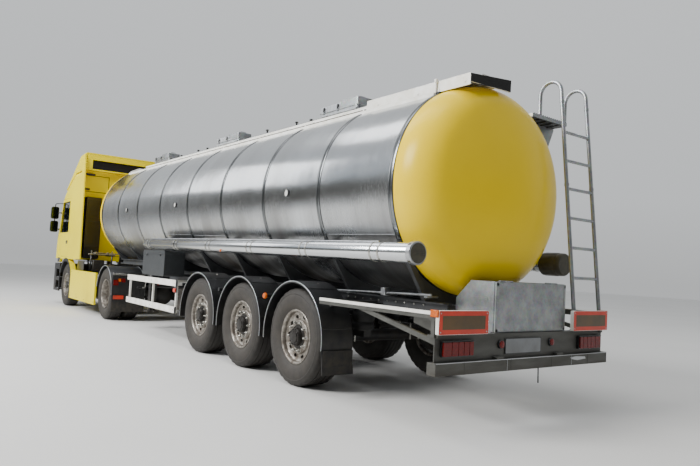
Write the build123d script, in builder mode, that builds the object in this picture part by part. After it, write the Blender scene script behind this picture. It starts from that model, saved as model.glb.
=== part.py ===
"""Articulated tanker truck: three-axle stainless tank trailer coupled to a two-axle tractor.

Frame: +X forward, +Y left, +Z up, origin on the road under the middle of the vehicle, millimetres.
"""
from build123d import *
import math
import os

os.makedirs("parts", exist_ok=True)

# Lengths along the road
rear_overhang = 2240            # rear trailer axle to the tail
kingpin_to_rear_axle = 8050
trailer_axle_spacing = 1310
fifth_wheel_lead = 550          # kingpin ahead of the drive axle
wheelbase = 3600
front_overhang = 1380
overall_length = rear_overhang + kingpin_to_rear_axle - fifth_wheel_lead + wheelbase + front_overhang
x_tail = -overall_length / 2
x_rear_axle = x_tail + rear_overhang
x_king = x_rear_axle + kingpin_to_rear_axle
x_drive = x_king - fifth_wheel_lead
x_steer = x_drive + wheelbase
x_nose = x_steer + front_overhang

# Widths, as distances from the middle of the vehicle
half_width = 1245               # cab and tyres stay inside this
tyre_face_y = 1215              # outer face of every tyre
board_y = 1228

# Clearances
seat = 0.3                      # between faces that rest on each other
door_gap = 6
running_gap = 0.3               # bearings, pins and hub bores

# Wheels
tyre_radius = 530
bead_radius = 284
flange_radius = 298
flange_thick = 12
trailer_tyre_width = 370
tractor_tyre_width = 290
trailer_half_rim = 150          # half the width over a rim's flanges
tractor_half_rim = 125
twin_spacing = 335
spindle_radius = 55
drum_radius = 205

# Tank
tank_radius = 1075
tank_slope = 0.0137             # the tank rises towards the tractor
tank_clearance = 83             # tank's underside above the rails' top at the rear axle
seam_to_rear_axle = 1398        # rear seam behind the rear axle
bay_length = 1261.5
bay_count = 8
band_width = 60
band_height = 6
dish_flange = 90
dish_knuckle = 380
dish_crown = 2500

# Trailer frame
rail_y = 500
rail_web = 12
rail_flange = 120
flange_plate = 14
rail_bottom = 870
rail_depth = 150
axis_height = rail_bottom + rail_depth + tank_clearance + tank_radius
coupling_height = 1150          # top of the fifth wheel
skid_plate = 13
kingpin_radius = 25.4
kingpin_length = 84

# Directions and frames of the tank
slope_angle = math.atan(tank_slope)
axis_dir = Vector(math.cos(slope_angle), 0, math.sin(slope_angle))
up_dir = Vector(-math.sin(slope_angle), 0, math.cos(slope_angle))
x_seam = x_rear_axle - seam_to_rear_axle
barrel_length = bay_length * bay_count


def axis_z(x):
    """Height of the tank's axis above the road at x."""
    return axis_height + tank_slope * (x - x_rear_axle)


seam_point = Vector(x_seam, 0, axis_z(x_seam))
tank_axis = Axis(seam_point, axis_dir)
tank_side = Plane(origin=seam_point, x_dir=axis_dir, z_dir=(0, -1, 0))


def station(s):
    """Plane across the tank at a distance s ahead of the rear seam: x is left, y is up."""
    return Plane(origin=seam_point + axis_dir * s, x_dir=(0, 1, 0), z_dir=axis_dir)


def station_of(x):
    """Distance along the tank's axis of the place above x."""
    return (x - x_seam) / math.cos(slope_angle)


def deck(h):
    """Plane along the tank, h above its axis: x is forward along the tank, y is left."""
    return Plane(origin=seam_point + up_dir * h, x_dir=axis_dir, z_dir=up_dir)


def side(y):
    """Upright plane along the vehicle at y: x is forward, y is up, extrusion goes to the right."""
    return Plane(origin=(0, y, 0), x_dir=(1, 0, 0), z_dir=(0, -1, 0))


def across(x):
    """Upright plane across the vehicle at x: x is left, y is up, extrusion goes forward."""
    return Plane(origin=(x, 0, 0), x_dir=(0, 1, 0), z_dir=(1, 0, 0))


def wheel_plane(x, y, z, hand):
    """Plane through a wheel's middle: x is outboard, y is up."""
    return Plane(origin=(x, y, z), x_dir=(0, hand, 0), z_dir=(hand, 0, 0))


def bar(x0, x1, y0, y1, z0, z1, mode=Mode.ADD):
    """Adds a straight block between these limits to the piece being built."""
    with Locations(((x0 + x1) / 2, (y0 + y1) / 2, (z0 + z1) / 2)):
        Box(abs(x1 - x0), abs(y1 - y0), abs(z1 - z0), mode=mode)


def plate(points, plane, thick, mode=Mode.ADD):
    """Adds a flat plate with this outline, thick to each side of the plane in halves."""
    with BuildSketch(plane) as outline:
        with BuildLine():
            Polyline(*points, close=True)
        make_face()
    extrude(outline.sketch, amount=thick / 2, both=True, mode=mode)


def rod(start, end, radius, mode=Mode.ADD):
    """Adds a round bar from start to end."""
    a = Vector(*start)
    b = Vector(*end)
    along = b - a
    with BuildSketch(Plane(origin=a, z_dir=along)) as section:
        Circle(radius)
    extrude(section.sketch, amount=along.length, mode=mode)


def save(builder, label):
    """Names a finished piece and writes it."""
    builder.part.label = label
    export_step(builder.part, "parts/" + label + ".step")
    finished[label] = builder.part


finished = {}

# Tank barrel with its bands
with BuildPart() as tank_barrel:
    with BuildSketch(station(0)):
        Circle(tank_radius)
    extrude(amount=barrel_length)
    for bay in range(bay_count + 1):
        start = bay * bay_length - band_width / 2
        start = min(max(start, 0), barrel_length - band_width)
        with BuildSketch(station(start)):
            Circle(tank_radius + band_height)
        extrude(amount=band_width)
save(tank_barrel, "tank_barrel")

# Dished ends of the tank
knuckle_ring = tank_radius - dish_knuckle
crown_angle = math.asin(knuckle_ring / (dish_crown - dish_knuckle))
crown_centre = -dish_flange + (dish_crown - dish_knuckle) * math.cos(crown_angle)
dish_depth = dish_crown - crown_centre
with BuildPart() as tank_ends:
    for foot, way in ((0, -1), (barrel_length, 1)):
        with BuildSketch(tank_side):
            with BuildLine():
                knee = (foot + way * dish_flange, tank_radius)
                middle = math.pi / 4 - crown_angle / 2
                bend = (foot + way * (dish_flange + dish_knuckle * math.sin(middle)),
                        knuckle_ring + dish_knuckle * math.cos(middle))
                turn = (foot + way * (dish_flange + dish_knuckle * math.cos(crown_angle)),
                        knuckle_ring + dish_knuckle * math.sin(crown_angle))
                mid_crown = (foot + way * (dish_crown * math.cos(crown_angle / 2) - crown_centre),
                             dish_crown * math.sin(crown_angle / 2))
                apex = (foot + way * dish_depth, 0)
                Line((foot, 0), (foot, tank_radius))
                Line((foot, tank_radius), knee)
                ThreePointArc(knee, bend, turn)
                ThreePointArc(turn, mid_crown, apex)
                Line(apex, (foot, 0))
            make_face()
        revolve(axis=tank_axis)
save(tank_ends, "tank_ends")

# Walkway along the top: a folded deck over the crown, its low side rail, the raised tail and end board
walk_back = -391                # from the rear seam, over the rear dish
walk_front = 8998
walk_left = 510
walk_right = -83
walk_fold = 330                 # where the deck bends down towards the side rail
deck_low = tank_radius + band_height + 4
deck_high = deck_low + 12
rail_foot = tank_radius - 113   # side rail's lower edge over the tank's axis
rail_head = rail_foot + 50
tail_head = rail_head + 60      # the rail's raised part over the last bay
tail_front = 1200
inner_head = deck_high + 15
kick_thick = 12
with BuildPart() as walkway:
    with BuildSketch(station(walk_back)):
        with BuildLine():
            Polyline((walk_right, deck_low), (walk_fold, deck_low), (walk_left - kick_thick, rail_head - 14),
                     (walk_left - kick_thick, rail_foot), (walk_left, rail_foot), (walk_left, rail_head),
                     (walk_left - kick_thick, rail_head), (walk_fold + 2, deck_high),
                     (walk_right + kick_thick, deck_high), (walk_right + kick_thick, inner_head),
                     (walk_right, inner_head), close=True)
        make_face()
    extrude(amount=walk_front - walk_back)
    with BuildSketch(station(walk_back)):
        with Locations((walk_left - kick_thick / 2, (rail_foot + tail_head) / 2)):
            Rectangle(kick_thick, tail_head - rail_foot)
    extrude(amount=tail_front - walk_back)
    with BuildSketch(station(walk_back)):
        with BuildLine():
            Polyline((walk_left, rail_foot + 28), (walk_left, tail_head), (walk_right, tail_head + 58),
                     (walk_right, deck_low - 80), close=True)
        make_face()
    extrude(amount=kick_thick)
    for bay in range(bay_count + 1):
        place = min(max(bay * bay_length, band_width / 2), barrel_length - band_width / 2)
        with BuildSketch(station(place)):
            with BuildLine():
                Polyline((walk_right + 8, deck_high - 4), (walk_fold, deck_high - 4), (walk_left - 8, rail_head - 6),
                         (walk_left - 8, tank_radius - 175), (walk_right + 8, tank_radius - 175), close=True)
            make_face()
            Circle(tank_radius + band_height + seat, mode=Mode.SUBTRACT)
        extrude(amount=10, both=True)
save(walkway, "walkway")

# Manholes: three long coamings on the deck with hinged covers
manhole_x = (635, 3915, 7150)   # ahead of the rear axle
cover_y = 225
cover_length = 870
cover_width = 250
cover_round = 60
coaming_top = 75                # above the tank's top line
cover_top = 173
cover_lip = 10                  # the coaming stands in from the cover's edge
manhole_s = [station_of(x_rear_axle + x) for x in manhole_x]
hinge_reach = 460               # lid hinge ahead of the cover's middle
hinge_rise = 95                 # lid hinge above the tank's top line
with BuildPart() as manlid_bases:
    for s in manhole_s:
        with BuildSketch(deck(deck_high + seat)):
            with Locations((s, cover_y)):
                RectangleRounded(cover_length - 2 * cover_lip, cover_width - 2 * cover_lip, cover_round)
        extrude(amount=tank_radius + coaming_top - deck_high - seat)
        for y in (cover_y - 52, cover_y + 52):
            with BuildSketch(Plane(origin=tank_side.origin + Vector(0, y, 0), x_dir=axis_dir, z_dir=(0, -1, 0))):
                with BuildLine():
                    Polyline((s + 380, tank_radius + 35), (s + hinge_reach + 15, tank_radius + 35),
                             (s + hinge_reach + 15, tank_radius + hinge_rise + 12),
                             (s + hinge_reach - 14, tank_radius + hinge_rise + 12),
                             (s + hinge_reach - 14, tank_radius + coaming_top - 4),
                             (s + 380, tank_radius + coaming_top - 4), close=True)
                make_face()
            extrude(amount=6, both=True)
save(manlid_bases, "manlid_bases")
for name, s in zip(("lid_rear", "lid_middle", "lid_front"), manhole_s):
    with BuildPart() as lid:
        with BuildSketch(deck(tank_radius + coaming_top + seat)):
            with Locations((s, cover_y)):
                RectangleRounded(cover_length, cover_width, cover_round)
        extrude(amount=cover_top - coaming_top - seat)
        fillet(lid.faces().sort_by(Axis.Z)[-1].edges(), 34)
        with BuildSketch(deck(tank_radius + hinge_rise - 8)):
            with Locations((s + hinge_reach - 20, cover_y)):
                Rectangle(40, 91)
        extrude(amount=16)
        pin = seam_point + axis_dir * (s + hinge_reach) + up_dir * (tank_radius + hinge_rise)
        rod((pin.X, cover_y - 45.7, pin.Z), (pin.X, cover_y + 45.7, pin.Z), 12)
    save(lid, name)

# Ladder on the right rear, with looped hand rails and the step-off platform
ladder_outer_y = -1260
ladder_inner_y = -805
tube_radius = 21
beam_top = 800
x_beam = x_tail + 72
rung_heights = (1330, 1640, 1950, 2260, 2560, 2870)
ladder_foot = (x_beam + 30, beam_top + seat + 2.1)
ladder_lean = 0.0978
loop_radius = 132
platform_thick = 40
platform_back = x_seam - 262
platform_front = x_seam + 100
platform_inner_y = -640
platform_gap = 22.1568          # from the tank's round to the platform's inner lower edge
platform_z = seam_point.Z + math.sqrt((tank_radius + platform_gap) ** 2 - platform_inner_y ** 2)
loop_low = platform_z + 270     # where the hand rails' loops start
stay_head = platform_z + 28 - axis_height


def ladder_x(z):
    """Place of a stile at height z."""
    return ladder_foot[0] + ladder_lean * (z - ladder_foot[1])


with BuildPart() as ladder:
    lean = math.atan(ladder_lean)
    top_x = ladder_x(loop_low)
    centre_x = top_x + loop_radius * math.cos(lean)
    centre_z = loop_low - loop_radius * math.sin(lean)
    crest = (math.pi - lean) / 2
    for y in (ladder_outer_y, ladder_inner_y):
        with BuildLine() as stile:
            Line((ladder_foot[0], y, ladder_foot[1]), (top_x, y, loop_low))
            ThreePointArc((top_x, y, loop_low),
                          (centre_x + loop_radius * math.cos(crest), y,
                           centre_z + loop_radius * math.sin(crest)),
                          (centre_x + loop_radius, y, centre_z))
            Line((centre_x + loop_radius, y, centre_z), (centre_x + loop_radius, y, platform_z + 20))
        with BuildSketch(Plane(origin=stile.line @ 0, z_dir=stile.line % 0)):
            Circle(tube_radius)
        sweep(path=stile.line)
    for z in rung_heights:
        rod((ladder_x(z), ladder_outer_y, z), (ladder_x(z), ladder_inner_y, z), 15)
    bar(platform_back, platform_front, platform_inner_y, ladder_outer_y, platform_z,
        platform_z + platform_thick)
    with BuildSketch(station(-70)):
        with BuildLine():
            Polyline((platform_inner_y, stay_head), (ladder_outer_y, stay_head),
                     (ladder_outer_y, stay_head - 40), (65 - tank_radius, 300),
                     (-500, tank_radius - 375), close=True)
        make_face()
        Circle(tank_radius + seat, mode=Mode.SUBTRACT)
    extrude(amount=6, both=True)
save(ladder, "ladder")

# Hose tubes on both sides
hose_radius = 92
hose_y = 1145
hose_drop = 683                 # below the tank's axis
hose_back = -462                # from the rear seam
hose_front = 6568
collar_length = 60
cap_back = -386                 # the right tube ends in a larger cap
cap_radius = 127
cap_length = 270
with BuildPart() as hose_tubes:
    for centre_y, back, end_back, end_radius, end_length in (
            (hose_y, hose_back, hose_back - 20, hose_radius + 14, collar_length),
            (-hose_y, cap_back + 20, cap_back, cap_radius, cap_length)):
        with BuildSketch(station(back)):
            with Locations((centre_y, -hose_drop)):
                Circle(hose_radius)
        extrude(amount=hose_front - back)
        with BuildSketch(station(end_back)):
            with Locations((centre_y, -hose_drop)):
                Circle(end_radius)
        extrude(amount=end_length)
save(hose_tubes, "hose_tubes")

# Trailer frame: rails, saddles, cross members and the skid plate with its kingpin
rail_back = x_tail + 620
rail_rise_start = x_king - 2110
rail_rise_end = x_king - 1820
rail_front = x_king + 700
skid_z = coupling_height + seat
rail_front_top = 1262


def rail_top(x):
    """Height of the rails' top edge at x."""
    if x <= rail_rise_start:
        return rail_bottom + rail_depth + tank_slope * (x - rail_back)
    if x >= rail_rise_end:
        return rail_front_top
    share = (x - rail_rise_start) / (rail_rise_end - rail_rise_start)
    low = rail_bottom + rail_depth + tank_slope * (rail_rise_start - rail_back)
    return low + share * (rail_front_top - low)


upper_edge = [(x, rail_top(x)) for x in (rail_back, rail_rise_start, rail_rise_end, rail_front)]
rail_front_low = skid_z + skid_plate + seat
lower_edge = [(rail_back, rail_bottom), (rail_rise_start, rail_bottom),
              (rail_rise_end, rail_front_low), (rail_front, rail_front_low)]


def strip(edge, thick):
    """Outline of a plate that follows an edge, thick downwards or upwards."""
    return list(edge) + [(x, z + thick) for x, z in reversed(edge)]


saddle_places = [bay * bay_length for bay in range(bay_count + 1)]
saddle_places[0] = band_width / 2
saddle_places[-1] = barrel_length - band_width / 2
saddle_radius = tank_radius + band_height + seat
strut_foot_y = 500
strut_head_y = 900
strut_half = 25
hose_arms = 6
cross_places = [rail_back + 260, x_rear_axle - 755, x_rear_axle + 655, x_rear_axle + 1965, x_rear_axle + 3320,
                x_rear_axle + 4720]
web_gap = rail_web / 2 + seat
with BuildPart() as trailer_frame:
    for hand in (1, -1):
        web_plane = side(hand * rail_y)
        plate(upper_edge + lower_edge[::-1], web_plane, rail_web)
        plate(strip(upper_edge, -flange_plate), web_plane, rail_flange)
        plate(strip(lower_edge, flange_plate), web_plane, rail_flange)
    for index, s in enumerate(saddle_places):
        plane = station(s)
        foot = rail_top(plane.origin.X + strut_half + 15) - plane.origin.Z + seat
        head = -math.sqrt(saddle_radius ** 2 - strut_head_y ** 2)
        if foot > -saddle_radius:
            with BuildSketch(plane):
                for hand in (1, -1):
                    with BuildLine():
                        Polyline((hand * (rail_y - 60), foot), (hand * (rail_y + 60), foot),
                                 (hand * (rail_y + 260), foot + 250), (hand * (rail_y - 60),
                                                                       foot + 250), close=True)
                    make_face()
                Circle(saddle_radius, mode=Mode.SUBTRACT)
            extrude(amount=strut_half, both=True)
            continue
        with BuildSketch(plane):
            with BuildLine():
                Polyline((-strut_foot_y, foot), (strut_foot_y, foot), (strut_head_y, head),
                         (-strut_head_y, head), close=True)
            make_face()
            Circle(saddle_radius, mode=Mode.SUBTRACT)
        extrude(amount=8, both=True)
        with BuildSketch(plane):
            for hand in (1, -1):
                with BuildLine():
                    Polyline((hand * strut_foot_y, foot), (hand * (strut_foot_y + 60), foot),
                             (hand * (strut_head_y + 40), head + 40), (hand * (strut_head_y - 40), head + 40),
                             close=True)
                make_face()
            Circle(saddle_radius, mode=Mode.SUBTRACT)
        extrude(amount=strut_half, both=True)
        if index < hose_arms:
            with BuildSketch(plane):
                for hand in (1, -1):
                    with Locations((hand * (strut_head_y - 70 + hose_y) / 2, -hose_drop)):
                        Rectangle(hose_y - strut_head_y + 70, 70)
                for hand in (1, -1):
                    with Locations((hand * hose_y, -hose_drop)):
                        Circle(hose_radius + seat, mode=Mode.SUBTRACT)
                Circle(saddle_radius, mode=Mode.SUBTRACT)
            extrude(amount=25, both=True)
    for x in cross_places:
        bar(x - 40, x + 40, web_gap - rail_y, rail_y - web_gap, rail_bottom + flange_plate + seat,
            rail_bottom + 120)
    bar(x_king - 900, rail_front, -rail_y - 60, rail_y + 60, skid_z, skid_z + skid_plate)
    rod((x_king, 0, skid_z + 2), (x_king, 0, skid_z - kingpin_length), kingpin_radius)
save(trailer_frame, "trailer_frame")

# Trailer axles with drums, trailing arms and air springs
trailer_wheel_x = [x_rear_axle + i * trailer_axle_spacing for i in range(3)]
trailer_wheel_y = tyre_face_y - trailer_tyre_width / 2
disc_face = 70                  # wheel disc's inner face, outboard of the tyre's middle
with BuildPart() as trailer_axles:
    for x in trailer_wheel_x:
        hub_y = trailer_wheel_y + disc_face
        rod((x, -hub_y + 5, tyre_radius), (x, hub_y - 5, tyre_radius), 70)
        rod((x, -hub_y - 40, tyre_radius), (x, hub_y + 40, tyre_radius), spindle_radius)
        for hand in (1, -1):
            rod((x, hand * (hub_y - 250), tyre_radius), (x, hand * (hub_y - 5), tyre_radius), drum_radius)
            y = hand * rail_y
            bar(x + 400, x + 520, y - 50, y + 50, tyre_radius + 30, rail_bottom - seat)
            bar(x - 420, x + 520, y - 50, y + 50, tyre_radius + 30, tyre_radius + 130)
            rod((x - 330, y, tyre_radius + 100), (x - 330, y, rail_bottom - seat), 110)
            bar(x - 60, x + 60, y - 50, y + 50, tyre_radius, tyre_radius + 60)
save(trailer_axles, "trailer_axles")

# Trailer mudguards, their stays and the rear flaps
guard_radius = 604
guard_thick = 10
guard_inner_y = 850
guard_outer_y = 1240
guard_front_angle = 20
guard_rear_angle = 187
stay_offset = trailer_axle_spacing / 2
stay_z = 935
stay_radius = 24
tie_near = 990                  # flat ties between neighbouring mudguards
tie_far = 1060
guard_reach = math.sqrt(guard_radius ** 2 - (stay_z - tyre_radius) ** 2)
with BuildPart() as trailer_fenders:
    for hand in (1, -1):
        for x in trailer_wheel_x:
            for inner, near, far in ((guard_radius, guard_inner_y, guard_outer_y),
                                     (guard_radius - 16, guard_outer_y - 10, guard_outer_y)):
                with BuildSketch(side(hand * far)):
                    with BuildLine():
                        outer = guard_radius + guard_thick
                        arc = CenterArc((x, tyre_radius), outer, guard_front_angle,
                                        guard_rear_angle - guard_front_angle)
                        low = CenterArc((x, tyre_radius), inner, guard_front_angle,
                                        guard_rear_angle - guard_front_angle)
                        Line(arc @ 0, low @ 0)
                        Line(arc @ 1, low @ 1)
                    make_face()
                extrude(amount=hand * (far - near))
        for i in range(4):
            x = x_rear_axle + (i - 0.5) * trailer_axle_spacing
            stay_end = guard_outer_y - 30 if i > 0 else board_y - 38 - seat
            rod((x, hand * (rail_y + rail_web / 2 + seat), stay_z), (x, hand * stay_end, stay_z), stay_radius)
            back = x - (stay_offset - guard_reach if i > 0 else 0)
            front = x + (stay_offset - guard_reach if i < 3 else 0)
            bar(back, front, hand * tie_near, hand * tie_far, stay_z - 6, stay_z + 6)
        low_x = x_rear_axle - (guard_radius + 5) * math.cos(math.radians(guard_rear_angle - 180))
        plate([(low_x - 5, 470), (low_x + 5, 470), (low_x - 35, 215), (low_x - 45, 215)],
              side(hand * (guard_inner_y + guard_outer_y) / 2), guard_outer_y - guard_inner_y)
save(trailer_fenders, "trailer_fenders")

# Rear under-run bar, lamp board, cross beam and the long side bars
bumper_half = 1237
bumper_low = 476
bumper_high = 580
panel_low = bumper_high + seat
panel_x = x_tail + 60
side_bar_z = 960
plate_y = 79
plate_half = 254                # backing of the number plate
plate_low = 620
plate_height = 132
plate_thick = 6
with BuildPart() as rear_bumper:
    bar(x_tail + 10, x_tail + 110, -bumper_half, bumper_half, bumper_low, bumper_high)
    bar(panel_x, panel_x + 10, -1210, 1210, panel_low, beam_top)
    bar(panel_x, panel_x + 90, -1210, 1210, beam_top - 60, beam_top)
    bar(panel_x - plate_thick, panel_x, plate_y - plate_half, plate_y + plate_half, plate_low,
        plate_low + plate_height)
    for hand in (1, -1):
        y = hand * rail_y
        plate([(panel_x + 5, 690), (panel_x + 5, beam_top - 5), (rail_back - 34, beam_top - 5),
               (rail_back + 40, rail_bottom - seat),
               (rail_back + 420, rail_bottom - seat), (rail_back + 420, rail_bottom - 70), (rail_back - 60,
                                                                                            690)],
              side(y), 80)
        bar(x_tail + 60, x_tail + 100, y - 60, y + 60, bumper_high - 20, beam_top - 30)
        outer = hand * (board_y - 8)
        bar(x_tail + 40, x_rear_axle - 500, outer, outer - hand * 30, side_bar_z - 30, side_bar_z + 30)
        bar(panel_x, panel_x + 40, outer, outer - hand * 40, beam_top - 20, side_bar_z)
        bar(x_tail + 40, x_tail + 75, outer - hand * 20, outer - hand * 60, beam_top - 20, 990)
        bar(x_rear_axle - 580, x_rear_axle - 550, hand * (rail_y + rail_web / 2 + seat), outer,
            side_bar_z - 10, side_bar_z + 10)
save(rear_bumper, "rear_bumper")

# Long-vehicle marker boards
board_width = 600
board_low = 808
board_high = 1006
with BuildPart() as marker_boards:
    for hand in (1, -1):
        bar(x_tail, x_tail + 40 - seat, hand * board_y, hand * (board_y - board_width), board_low, board_high)
save(marker_boards, "marker_boards")

# Trailer lamps: rear clusters, round lamps and side markers
round_lamp_y = (395, -339)
round_lamp_z = 705
cluster = (770, 1150, 622, 752)  # near, far, low, high
with BuildPart() as trailer_lamps:
    for hand in (1, -1):
        bar(x_tail + 18, panel_x - seat, hand * cluster[1], hand * cluster[0], cluster[2], cluster[3])
        bar(x_tail + 45, x_tail + 90, hand * (board_y - 8 + seat), hand * (board_y + 12), side_bar_z - 25,
            side_bar_z + 25)
    for y in round_lamp_y:
        rod((x_tail + 30, y, round_lamp_z), (panel_x - seat, y, round_lamp_z), 36)
save(trailer_lamps, "trailer_lamps")

# Equipment cabinet at the tail, with its flap
cabinet_left = 427
cabinet_right = -620
cabinet_back = x_tail + 97
cabinet_low = beam_top + seat
cabinet_high = 1255
cabinet_depth = 308
cabinet_wall = 20
flap_thick = 20
flap_barrel = 7
flap_x = cabinet_back + flap_thick + seat / 2
flap_z = cabinet_high + flap_barrel + seat
with BuildPart() as cabinet:
    x0 = cabinet_back + flap_thick + seat
    x1 = cabinet_back + cabinet_depth
    middle = (cabinet_left + cabinet_right) / 2
    width = cabinet_left - cabinet_right
    plate([(x0, cabinet_low), (x0, cabinet_high), (x1, cabinet_high), (x1 + 178, cabinet_high - 170),
           (x1 + 178, cabinet_low)], side(middle), width)
    inside = [(x0 - 1, cabinet_low + cabinet_wall), (x0 - 1, cabinet_high - cabinet_wall),
              (x1 - 10, cabinet_high - cabinet_wall), (x1 + 158, cabinet_high - 180),
              (x1 + 158, cabinet_low + cabinet_wall)]
    plate(inside, side(middle), width - 2 * cabinet_wall, mode=Mode.SUBTRACT)
    for y in (middle - 400, middle + 280):
        rod((flap_x, y, flap_z), (flap_x, y + 60 - seat, flap_z), flap_barrel)
        bar(flap_x, flap_x + 20, y, y + 60 - seat, cabinet_high - 5, flap_z)
        rod((flap_x, y + 120 + seat, flap_z), (flap_x, y + 180, flap_z), flap_barrel)
        bar(flap_x, flap_x + 20, y + 120 + seat, y + 180, cabinet_high - 5, flap_z)
        bar(flap_x - 1, x0, y, y + 180, cabinet_high - 6, cabinet_high + seat, mode=Mode.SUBTRACT)
save(cabinet, "cabinet")
with BuildPart() as cabinet_door:
    bar(cabinet_back, cabinet_back + flap_thick, cabinet_left, cabinet_right, cabinet_low + 5, cabinet_high)
    for y in (middle - 400, middle + 280):
        rod((flap_x, y + 60, flap_z), (flap_x, y + 120, flap_z), flap_barrel)
        bar(flap_x - 20, flap_x, y + 60, y + 120, cabinet_high - 5, flap_z)
save(cabinet_door, "cabinet_door")

# Side guards
guard_back = x_rear_axle + 3510
guard_front = x_rear_axle + 5950
side_guard_y = 1225
guard_posts = (guard_back + 50, (guard_back + guard_front) / 2 - 100, guard_front - 60)
with BuildPart() as side_guards:
    for hand in (1, -1):
        outer = hand * side_guard_y
        for low in (475, 890):
            bar(guard_back, guard_front, outer, outer - hand * 30, low, low + 95)
        for x in guard_posts:
            bar(x - 15, x + 15, outer - hand * 30, outer - hand * 60, 475, 985)
            bar(x - 25, x + 25, outer - hand * 50, hand * (rail_y + rail_web / 2 + seat), 900, 950)
save(side_guards, "side_guards")

# Valve boxes under the hose tubes
valve_back = x_rear_axle + 4280
valve_front = x_rear_axle + 5370
valve_inner_y = 795
valve_outer_y = 1150
valve_low = 1015
valve_high = axis_height - hose_drop - 40  # clear of the hose tube above
with BuildPart() as valve_boxes:
    for hand in (1, -1):
        with BuildSketch(side(hand * valve_outer_y)):
            with Locations(((valve_back + valve_front) / 2, (valve_low + valve_high) / 2)):
                RectangleRounded(valve_front - valve_back, valve_high - valve_low, 40)
        extrude(amount=hand * (valve_outer_y - valve_inner_y))
        for x in (valve_back + 200, valve_front - 200):
            bar(x - 25, x + 25, hand * (valve_inner_y + 5), hand * (rail_y + rail_web / 2 + seat), 1020, 1060)
save(valve_boxes, "valve_boxes")

# Landing legs
leg_x = x_rear_axle + 5770
leg_y = 800
foot_high = 330                 # top of the feet, drawn up for the road
with BuildPart() as landing_legs:
    for hand in (1, -1):
        y = hand * leg_y
        bar(leg_x - 60, leg_x + 60, y - 60, y + 60, 380, 1040)
        bar(leg_x - 48, leg_x + 48, y - 48, y + 48, foot_high - 5, 390)
        bar(leg_x - 110, leg_x + 110, y - 110, y + 110, foot_high - 30, foot_high)
        bar(leg_x - 50, leg_x + 50, hand * (rail_y + rail_web / 2 + seat), y, 890, 1000)
    rod((leg_x, -leg_y, 780), (leg_x, leg_y, 780), 22)
save(landing_legs, "landing_legs")


def tyre_outline(width, half_bead):
    """Half section of a tyre, x outboard and y outwards from the axle."""
    half = width / 2
    bead = bead_radius + running_gap
    shoulder = tyre_radius - 22
    Line((-half_bead, bead), (half_bead, bead))
    for h in (1, -1):
        Polyline((h * half_bead, bead), (h * half_bead, flange_radius),
                 (h * half, (flange_radius + shoulder) / 2),
                 (h * (half - 14), shoulder), (h * (half - 44), tyre_radius))
    Line((-half + 44, tyre_radius), (half - 44, tyre_radius))


def rim_outline(half_rim, disc, hub_out):
    """Half section of a rim with its disc and hub, x outboard and y outwards from the axle."""
    inner = bead_radius - 14
    in_flange = -half_rim + flange_thick
    out_flange = half_rim - flange_thick
    Polyline((-half_rim, inner), (-half_rim, flange_radius), (in_flange, flange_radius),
             (in_flange, bead_radius), (out_flange, bead_radius), (out_flange, flange_radius),
             (half_rim, flange_radius), (half_rim, inner), (disc + 40, inner),
             (disc + 16, inner - 60), (disc + 16, 150), (disc + 40, 140), (disc + 60, 112),
             (hub_out, 105), (hub_out + 12, 90), (hub_out + 12, 0), (hub_out - 20, 0),
             (hub_out - 20, spindle_radius + running_gap),
             (disc, spindle_radius + running_gap), (disc, inner - 50), (disc + 20, inner), close=True)


def twin_outline(way):
    """Half section of one rim of a twin pair, its bowl reaching the face where the pair is bolted."""
    inner = bead_radius - 14
    out_flange = tractor_half_rim - flange_thick
    face = twin_spacing / 2
    bore = spindle_radius + running_gap
    points = [(-tractor_half_rim, inner), (-tractor_half_rim, flange_radius), (-out_flange, flange_radius),
              (-out_flange, bead_radius), (out_flange, bead_radius), (out_flange, flange_radius),
              (tractor_half_rim, flange_radius), (tractor_half_rim, inner), (face, 215), (face, bore),
              (face - 16, bore), (face - 16, 208), (out_flange - 8, inner)]
    Polyline(*[(way * u, r) for u, r in points], close=True)


def make_tyre(name, x, centres, hand, width, half_rim, z=tyre_radius):
    """One tyre, or a pair on one axle end."""
    with BuildPart() as tyre:
        for y in centres:
            with BuildSketch(wheel_plane(x, hand * y, z, hand)):
                with BuildLine():
                    tyre_outline(width, half_rim - flange_thick - running_gap)
                make_face()
            revolve(axis=Axis((x, 0, z), (0, 1, 0)))
    save(tyre, name)


def make_rim(name, x, y, hand, half_rim, disc, hub_out):
    """Rim, disc and hub in one casting-like piece."""
    with BuildPart() as rim:
        with BuildSketch(wheel_plane(x, hand * y, tyre_radius, hand)):
            with BuildLine():
                rim_outline(half_rim, disc, hub_out)
            make_face()
        revolve(axis=Axis((x, 0, tyre_radius), (0, 1, 0)))
    save(rim, name)


# Trailer wheels, numbered from the rear
for number, x in enumerate(trailer_wheel_x, start=1):
    for hand, hand_name in ((1, "left"), (-1, "right")):
        make_tyre(f"tyre_trailer_{number}_{hand_name}", x, [trailer_wheel_y], hand,
                  trailer_tyre_width, trailer_half_rim)
        make_rim(f"rim_trailer_{number}_{hand_name}", x, trailer_wheel_y, hand,
                 trailer_half_rim, disc_face, 165)

# Spare wheel lying in its carrier
spare_x = x_rear_axle + 4150
spare_y = 400
spare_z = 640
with BuildPart() as spare_wheel:
    with BuildSketch(Plane(origin=(spare_x, spare_y, spare_z), x_dir=(0, 0, 1), z_dir=(0, -1, 0))):
        with BuildLine():
            tyre_outline(trailer_tyre_width, trailer_half_rim)
        make_face()
    revolve(axis=Axis((spare_x, spare_y, 0), (0, 0, 1)))
    rod((spare_x, spare_y, spare_z - 20), (spare_x, spare_y, spare_z + 20), bead_radius + 1)
    rod((spare_x, spare_y, spare_z - 40), (spare_x, spare_y, rail_bottom + 20), 30)
    bar(spare_x - 40, spare_x + 40, -rail_y + rail_web, rail_y - rail_web,
        rail_bottom + flange_plate + seat, rail_bottom + 60)
save(spare_wheel, "spare_wheel")

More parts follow.
